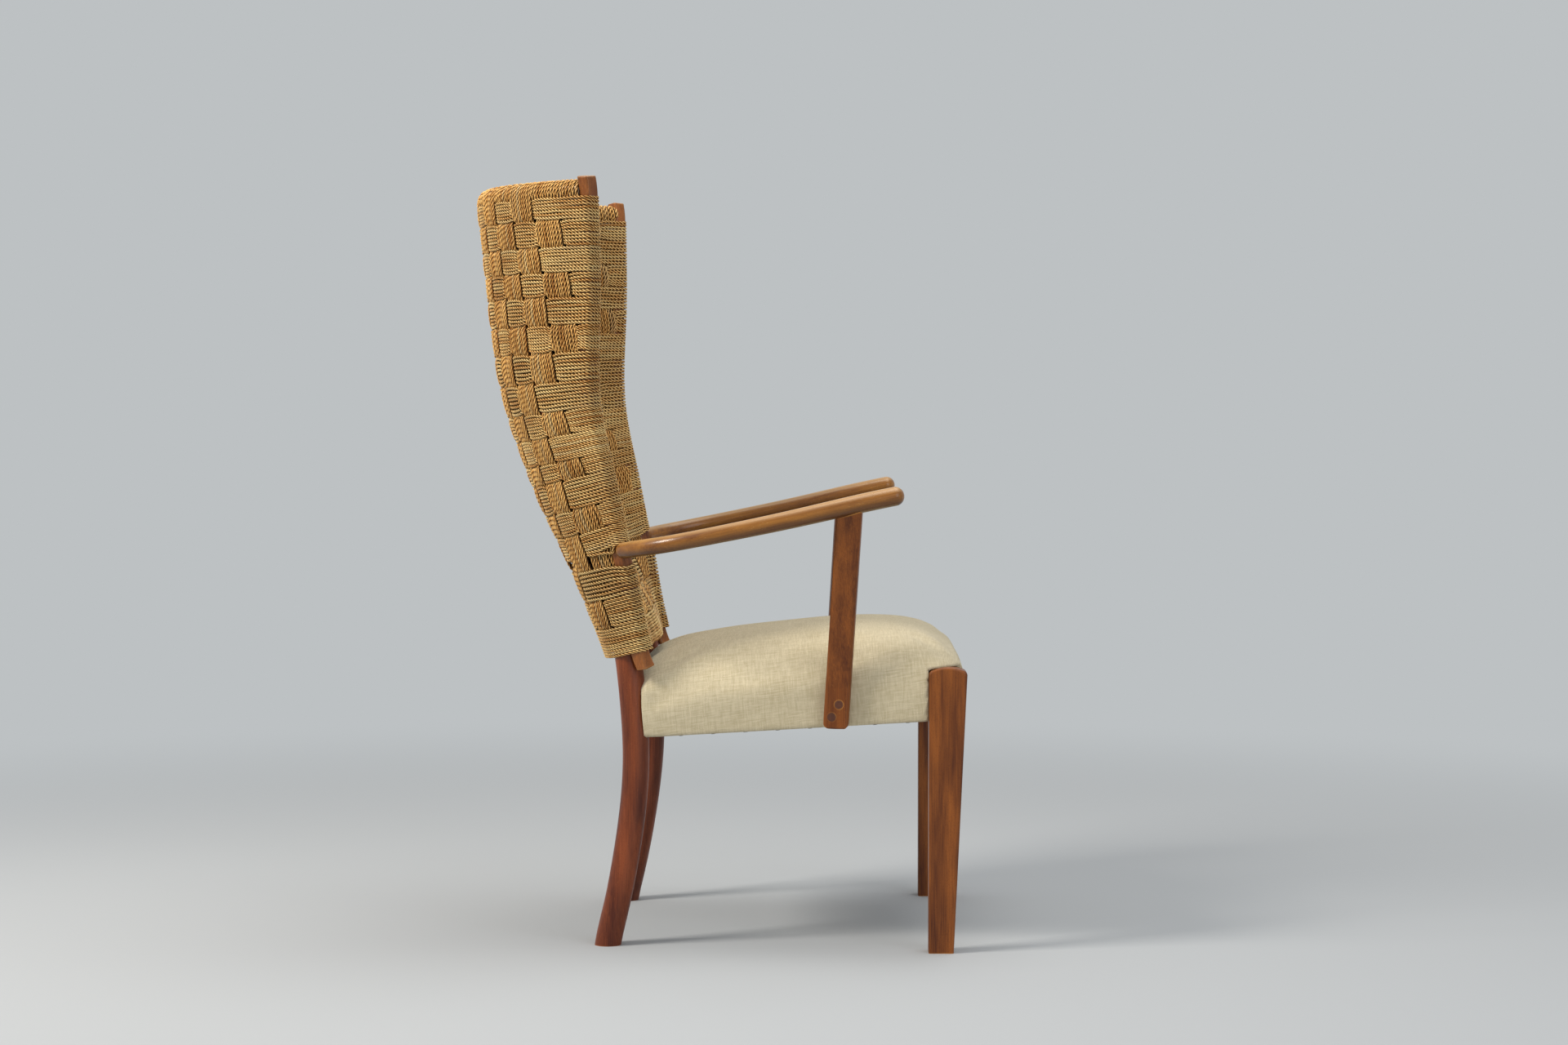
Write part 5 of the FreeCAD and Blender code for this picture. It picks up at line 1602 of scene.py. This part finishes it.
    def level_of(self, points: np.ndarray) -> np.ndarray:
        """Gives how high points lie above the seat's sloping plane.

        Args:
            points: points in space.

        Returns:
            Their heights.
        """
        angle = math.radians(-self.tilt)
        behind, above = points[:, 1] - self.pivot_y, points[:, 2] - self.pivot_z
        return above * math.cos(angle) - behind * math.sin(angle)

    def settled(self, piece: bpy.types.Object) -> None:
        """Lets the cover pull itself tight by a cloth simulation of an even copy. The broad swelling is left
        out, so that the small pulls stay and the cover keeps its outline.

        Args:
            piece: the cover, whose points are moved.
        """
        scene, placed = bpy.context.scene, read_points(piece.data)
        trial = bpy.data.objects.new("cover_trial", piece.data.copy())
        scene.collection.objects.link(trial)
        even = trial.modifiers.new("even", "REMESH")
        even.mode, even.voxel_size = "VOXEL", self.voxel
        mesh = bpy.data.meshes.new_from_object(trial.evaluated_get(bpy.context.evaluated_depsgraph_get()))
        trial.modifiers.clear()
        trial.data = mesh
        start = read_points(mesh)
        held = trial.vertex_groups.new(name="held")
        at_leg = np.abs(start[:, 0]) > self.leg_inner - self.voxel
        at_leg &= (start[:, 1] < self.leg_rear + self.voxel) & (start[:, 2] < self.leg_top + self.voxel)
        weights = np.maximum(smooth_step(*self.held_levels, self.level_of(start)), at_leg)
        for number in np.nonzero(weights > 0.01)[0]:
            held.add([int(number)], float(weights[number]), "REPLACE")
        cloth = trial.modifiers.new("settle", "CLOTH")
        cloth.settings.vertex_group_mass = held.name
        cloth.settings.effector_weights.gravity = 0.0
        cloth.settings.use_pressure = True
        cloth.settings.uniform_pressure_force = self.pressure
        cloth.settings.shrink_min = self.shrink
        cloth.settings.tension_stiffness = cloth.settings.compression_stiffness = self.stiffness
        cloth.settings.bending_stiffness = self.bending
        for frame in range(1, self.settle_frames + 1):
            scene.frame_set(frame)
        shift = read_points(trial.evaluated_get(bpy.context.evaluated_depsgraph_get()).data) - start
        square = (start ** 2).sum(1)
        apart = square[:, None] + square[None, :] - 2 * start @ start.T
        share = np.exp(-apart / (2 * self.broad ** 2))
        shift -= share @ shift / share.sum(1)[:, None]
        length = np.linalg.norm(shift, axis=1)[:, None]
        shift *= np.minimum(1.0, self.furthest / np.maximum(length, 1e-9))
        tree = KDTree(len(start))
        for number, point in enumerate(start):
            tree.insert(point, number)
        tree.balance()
        for number, point in enumerate(placed):
            _, near, away = zip(*tree.find_n(point, self.neighbours))
            nearness = 1 / (np.array(away) + self.voxel)
            placed[number] = point + (shift[list(near)] * nearness[:, None]).sum(0) / nearness.sum()
        piece.data.vertices.foreach_set("co", placed.astype(np.float32).ravel())
        piece.data.update()
        log.info("cover settled: pulls of %.1f mm, %.1f mm at most", np.median(length) / MM,
                 length.max() / MM)
        bpy.data.objects.remove(trial)
        scene.frame_set(1)

    def stuffing(self) -> bpy.types.Object:
        """Makes the padding under the cover.

        Returns:
            The stuffing.
        """
        base = self.rail_level + self.rail_height + 3 * MM
        rise = self.spring_rise
        levels = [(0.9995, base + rise + 2 * MM), (0.5, base + rise + 2 * MM), (0.34, base + rise * 0.8),
                  (0.24, base + rise * 0.3), (0.16, base + 1 * MM)]
        levels += [pair for pair in self.crown_levels(self.slack, 26) if pair[1] > base + 4 * MM]
        points, faces, _ = self.body(self.slack, levels)
        piece = new_piece("seat_stuffing_pad", points, faces, STUFFING_FIBRE)
        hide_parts("seat_stuffing")
        return piece

    def frame_outline(self, inset: float, count: int) -> np.ndarray:
        """Gives the outline of the seat rails, drawn in.

        Args:
            inset: how far it is drawn in.
            count: how many points lie along each side.

        Returns:
            Points as x and y, anticlockwise from the front right corner.
        """
        front, rear = self.front_rail_y + inset, self.rear_rail_y - inset
        corners = [(self.side_x(front) - inset, front), (self.side_x(rear) - inset, rear),
                   (inset - self.side_x(rear), rear), (inset - self.side_x(front), front)]
        points = []
        for i, start in enumerate(corners):
            end = corners[(i + 1) % 4]
            points += [tuple(a + (b - a) * k / count for a, b in zip(start, end)) for k in range(count)]
        return np.array(points)

    def sheet(self, name: str, rings: list[tuple[float, float]], finish: Finish,
              node: str) -> bpy.types.Object:
        """Makes a sheet of cloth through outlines of the rails.

        Args:
            name: the piece's name.
            rings: for each outline its inset and its level, from the rim to the middle.
            finish: the cloth's finish.
            node: the solid that it stands for.

        Returns:
            The sheet.
        """
        outlines = []
        for inset, level in rings:
            flat = self.frame_outline(inset, self.sheet_side)
            outlines.append(self.notched(self.tilted(np.column_stack([flat, np.full(len(flat), level)]))))
        points, faces = np.vstack(outlines), loft_faces(len(rings), 4 * self.sheet_side)
        piece = new_piece(name, points, faces, finish)
        set_uv(piece, "cloth", points[faces.ravel(), :2])
        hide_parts(node)
        rim = self.frame_outline(rings[0][0], 1)
        return piece

    def hessian(self) -> bpy.types.Object:
        """Makes the hessian stretched over the springs.

        Returns:
            The hessian.
        """
        base, rise = self.rail_level + self.rail_height + 0.6 * MM, self.spring_rise
        steps = [(0.005, 0.0), (0.028, 0.0)]
        steps += [(0.029 + 0.038 * run, rise * up)
                  for up, run in ((0.3, 0.15), (0.55, 0.30), (0.90, 0.70), (1.0, 1.0))]
        steps += [(inset, rise) for inset in (0.10, 0.15, 0.20, 0.2205)]
        rings = [(inset, base + level) for inset, level in steps]
        return self.sheet("seat_hessian_sheet", rings, HESSIAN, "seat_hessian")

    def dust_cover(self) -> bpy.types.Object:
        """Makes the thin cotton tacked under the seat.

        Returns:
            The dust cover.
        """
        rings = [(inset, 0.4 * MM + 0.25 * MM * math.sin(inset * 90)) for inset in
                 (0.009, 0.02, 0.04, 0.07, 0.10, 0.14, 0.18, 0.2205)]
        return self.sheet("seat_dust_sheet", rings, DUST_COTTON, "seat_dust_cover")

    def strap(self, start: np.ndarray, end: np.ndarray, aside: np.ndarray, level: float) -> np.ndarray:
        """Gives the six-cornered rings of one flat strap.

        Args:
            start: the x and y of its first end.
            end: the x and y of its other end.
            aside: the way across it.
            level: the level of its underside.

        Returns:
            Points above a level seat, ring by ring.
        """
        rows = []
        for cut in range(self.strap_cuts + 1):
            place = start + (end - start) * cut / self.strap_cuts
            for edge, lift in ((-1, 0), (-0.96, 1), (0.96, 1), (1, 0), (0.96, -1), (-0.96, -1)):
                flat = place + aside * edge * self.strap_width / 2
                rows.append((*flat, level + self.strap_thickness / 2 + lift * self.strap_thickness * 0.45))
        return np.array(rows)

    def webbing(self) -> bpy.types.Object:
        """Makes the straps that carry the springs, three each way.

        Returns:
            All the straps as one piece.
        """
        points, faces, places = [], [], []
        middle_y = (self.front_rail_y + self.rear_rail_y) / 2
        front, rear = self.front_rail_y + self.strap_margin, self.rear_rail_y - self.strap_margin
        for step in (-1, 0, 1):
            y, x = middle_y + step * self.strap_places[0], step * self.strap_places[1]
            half = self.side_x(y) - self.strap_margin
            for start, end, aside, level in (((-half, y), (half, y), (0, 1), self.strap_levels[0]),
                                             ((x, front), (x, rear), (1, 0), self.strap_levels[1])):
                first = sum(len(row) for row in points)
                rows = self.strap(np.array(start), np.array(end), np.array(aside), level)
                points.append(self.tilted(rows))
                faces.append(first + loft_faces(self.strap_cuts + 1, 6))
                places.append(rows[:, :2])
        all_faces = np.vstack(faces)
        piece = new_piece("seat_webbing_straps", np.vstack(points), all_faces, JUTE_STRAP)
        set_uv(piece, "cloth", np.vstack(places)[all_faces.ravel()])
        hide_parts("seat_webbing")
        return piece

    def build(self) -> None:
        """Makes every soft piece of the seat."""
        for piece in (self.cover(), self.stuffing(), self.hessian(), self.dust_cover(), self.webbing()):
            log.info("seat: %s with %d faces", piece.name, len(piece.data.polygons))


# Wood and metal


@dataclass
class HardParts:
    """The wood and metal pieces, which keep the solid model's shapes."""

    nodes: dict[str, bpy.types.Object]
    finishes: tuple = (
        ("arm_post_plugs", PLUG_BEECH), ("arm_post_screws", SCREW_STEEL), ("arm_post_", BROWN_BEECH),
        ("arm_rest_", GOLD_BEECH), ("arm_dowels", BARE_BEECH), ("back_stile_", WORN_AND_SHEEN_BEECH),
        ("back_rail_screws", SCREW_STEEL), ("back_top_rail", BARE_BEECH), ("back_bottom_rail", BARE_BEECH),
        ("front_leg_", BROWN_BEECH), ("rear_post_", RED_BEECH), ("seat_rail_", BARE_BEECH),
        ("seat_corner_blocks", BARE_BEECH), ("seat_block_screws", SCREW_STEEL),
        ("seat_springs", SPRING_STEEL), ("seat_tacks", BLUED_STEEL),
    )

    def dress(self) -> None:
        """Gives each piece its finish."""
        for name, piece in sorted(self.nodes.items()):
            finish = next((finish for start, finish in self.finishes if name.startswith(start)), None)
            if finish is None:
                continue
            material = finish.material()
            if not piece.material_slots:
                piece.data.materials.append(material)
            for place in piece.material_slots:
                place.material = material
            log.info("%s in %s", name, finish.name)


# Studio


@dataclass(frozen=True)
class Lamp:
    """One soft square lamp: where it hangs in metres, its width, its power in watts and its tint."""

    name: str
    place: tuple[float, float, float]
    width: float
    power: float
    tint: str


@dataclass
class Studio:
    """The pale floor, the soft lamps, the plain background and the camera."""

    camera_place: tuple[float, float, float] = (-4.8043, -0.165, 0.7778)
    camera_yaw: float = 0.808
    camera_drop: float = 2.056
    lens: float = 73.125
    sensor: float = 36.0
    floor: str = "#b9bdc0"
    background: str = "#bdc1c3"
    floor_half: float = 30.0
    fade_start: float = 0.9
    fade_end: float = 3.2
    soft_light: str = "#f2f3f5"
    soft_strength: float = 0.42
    lamps: tuple[Lamp, ...] = (
        Lamp("key", (-1.5, 2.7, 3.0), 1.1, 118.0, "#fff8ee"),
        Lamp("fill", (-3.0, -2.0, 1.8), 2.6, 36.0, "#fbfbff"),
        Lamp("top", (0.3, -0.5, 3.4), 2.2, 43.0, "#fffdf8"),
    )
    lamp_target: tuple[float, float, float] = (0.0, 0.0, 0.55)

    def hang(self, lamp: Lamp) -> None:
        """Hangs one lamp and aims it at the chair.

        Args:
            lamp: the lamp.
        """
        data = bpy.data.lights.new(lamp.name, "AREA")
        data.size, data.energy, data.color = lamp.width, lamp.power, linear(lamp.tint)[:3]
        hung = bpy.data.objects.new(lamp.name, data)
        hung.location = lamp.place
        bpy.context.scene.collection.objects.link(hung)
        hung.rotation_euler = (Vector(self.lamp_target) - hung.location).to_track_quat("-Z", "Y").to_euler()

    def seen_rays(self, tree: bpy.types.NodeTree) -> bpy.types.NodeSocket:
        """Picks out the rays that show the background: the camera's own, and those by way of metal and glass.

        Args:
            tree: the nodes to add to.

        Returns:
            The socket that is 1 for those rays.
        """
        ray = add_node(tree, "LightPath")
        seen = ray.outputs["Is Camera Ray"]
        for name in ("Is Glossy Ray", "Is Transmission Ray"):
            seen = maths(tree, "MAXIMUM", seen, ray.outputs[name])
        return seen

    def world(self) -> None:
        """Makes soft light from all round, and the plain background that the camera, metal and glass see."""
        world = bpy.data.worlds.new("studio")
        bpy.context.scene.world = world
        world.use_nodes = True
        tree = world.node_tree
        tree.nodes.clear()
        soft = add_node(tree, "Background", {"Color": linear(self.soft_light),
                                             "Strength": self.soft_strength})
        plain = add_node(tree, "Background", {"Color": linear(self.background), "Strength": 1.0})
        mixed = add_node(tree, "MixShader", {0: self.seen_rays(tree), 1: soft.outputs[0],
                                             2: plain.outputs[0]})
        add_node(tree, "OutputWorld", {0: mixed.outputs[0]})

    def ground(self) -> None:
        """Makes the pale floor."""
        half = self.floor_half
        mesh = bpy.data.meshes.new("studio_floor")
        mesh.from_pydata([(-half, -half, 0), (half, -half, 0), (half, half, 0), (-half, half, 0)], [],
                         [(0, 1, 2, 3)])
        floor = bpy.data.objects.new("studio_floor", mesh)
        bpy.context.scene.collection.objects.link(floor)
        paper = bpy.data.materials.new("paper_backdrop")
        paper.use_nodes = True
        tree = paper.node_tree
        shader = tree.nodes["Principled BSDF"]
        shader.inputs["Base Color"].default_value = linear(self.floor)
        shader.inputs["Roughness"].default_value = 0.9
        place = add_node(tree, "TexCoord").outputs["Object"]
        away = add_node(tree, "VectorMath", {0: place}, operation="LENGTH").outputs["Value"]
        far = add_node(tree, "MapRange", {0: away, 1: self.fade_start, 2: self.fade_end},
                       interpolation_type="SMOOTHSTEP").outputs[0]
        share = maths(tree, "MULTIPLY", far, self.seen_rays(tree))
        plain = add_node(tree, "Emission", {"Color": linear(self.background),
                                            "Strength": 1.0}).outputs[0]
        mixed = add_node(tree, "MixShader", {0: share, 1: shader.outputs[0], 2: plain})
        tree.links.new(mixed.outputs[0], tree.nodes["Material Output"].inputs["Surface"])
        mesh.materials.append(paper)

    def camera(self) -> None:
        """Makes the camera at the photograph's place."""
        data = bpy.data.cameras.new("camera")
        data.lens, data.sensor_width, data.sensor_fit = self.lens, self.sensor, "HORIZONTAL"
        camera = bpy.data.objects.new("camera", data)
        yaw, drop = math.radians(self.camera_yaw), math.radians(self.camera_drop)
        ahead = Vector((math.cos(drop) * math.cos(yaw), math.cos(drop) * math.sin(yaw), -math.sin(drop)))
        right = Vector((math.sin(yaw), -math.cos(yaw), 0))
        up = right.cross(ahead)
        turn = Matrix((right, up, -ahead)).transposed().to_4x4()
        camera.matrix_world = Matrix.Translation(self.camera_place) @ turn
        bpy.context.scene.collection.objects.link(camera)
        bpy.context.scene.camera = camera

    def build(self) -> None:
        """Makes the whole studio."""
        bpy.context.scene.view_settings.view_transform = "Standard"
        self.camera()
        self.ground()
        self.world()
        for lamp in self.lamps:
            self.hang(lamp)
        log.info("studio: camera, floor, world and lamps")


def main() -> None:
    """Builds the studio and every sub-assembly in order."""
    logging.basicConfig(level=logging.INFO, format="%(message)s")
    for thing in list(bpy.data.objects):
        bpy.data.objects.remove(thing)
    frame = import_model()
    Studio().build()
    HardParts(frame["nodes"]).dress()
    WovenBack().build()
    Seat().build()
    bpy.context.view_layer.update()


if __name__ == "__main__":
    main()
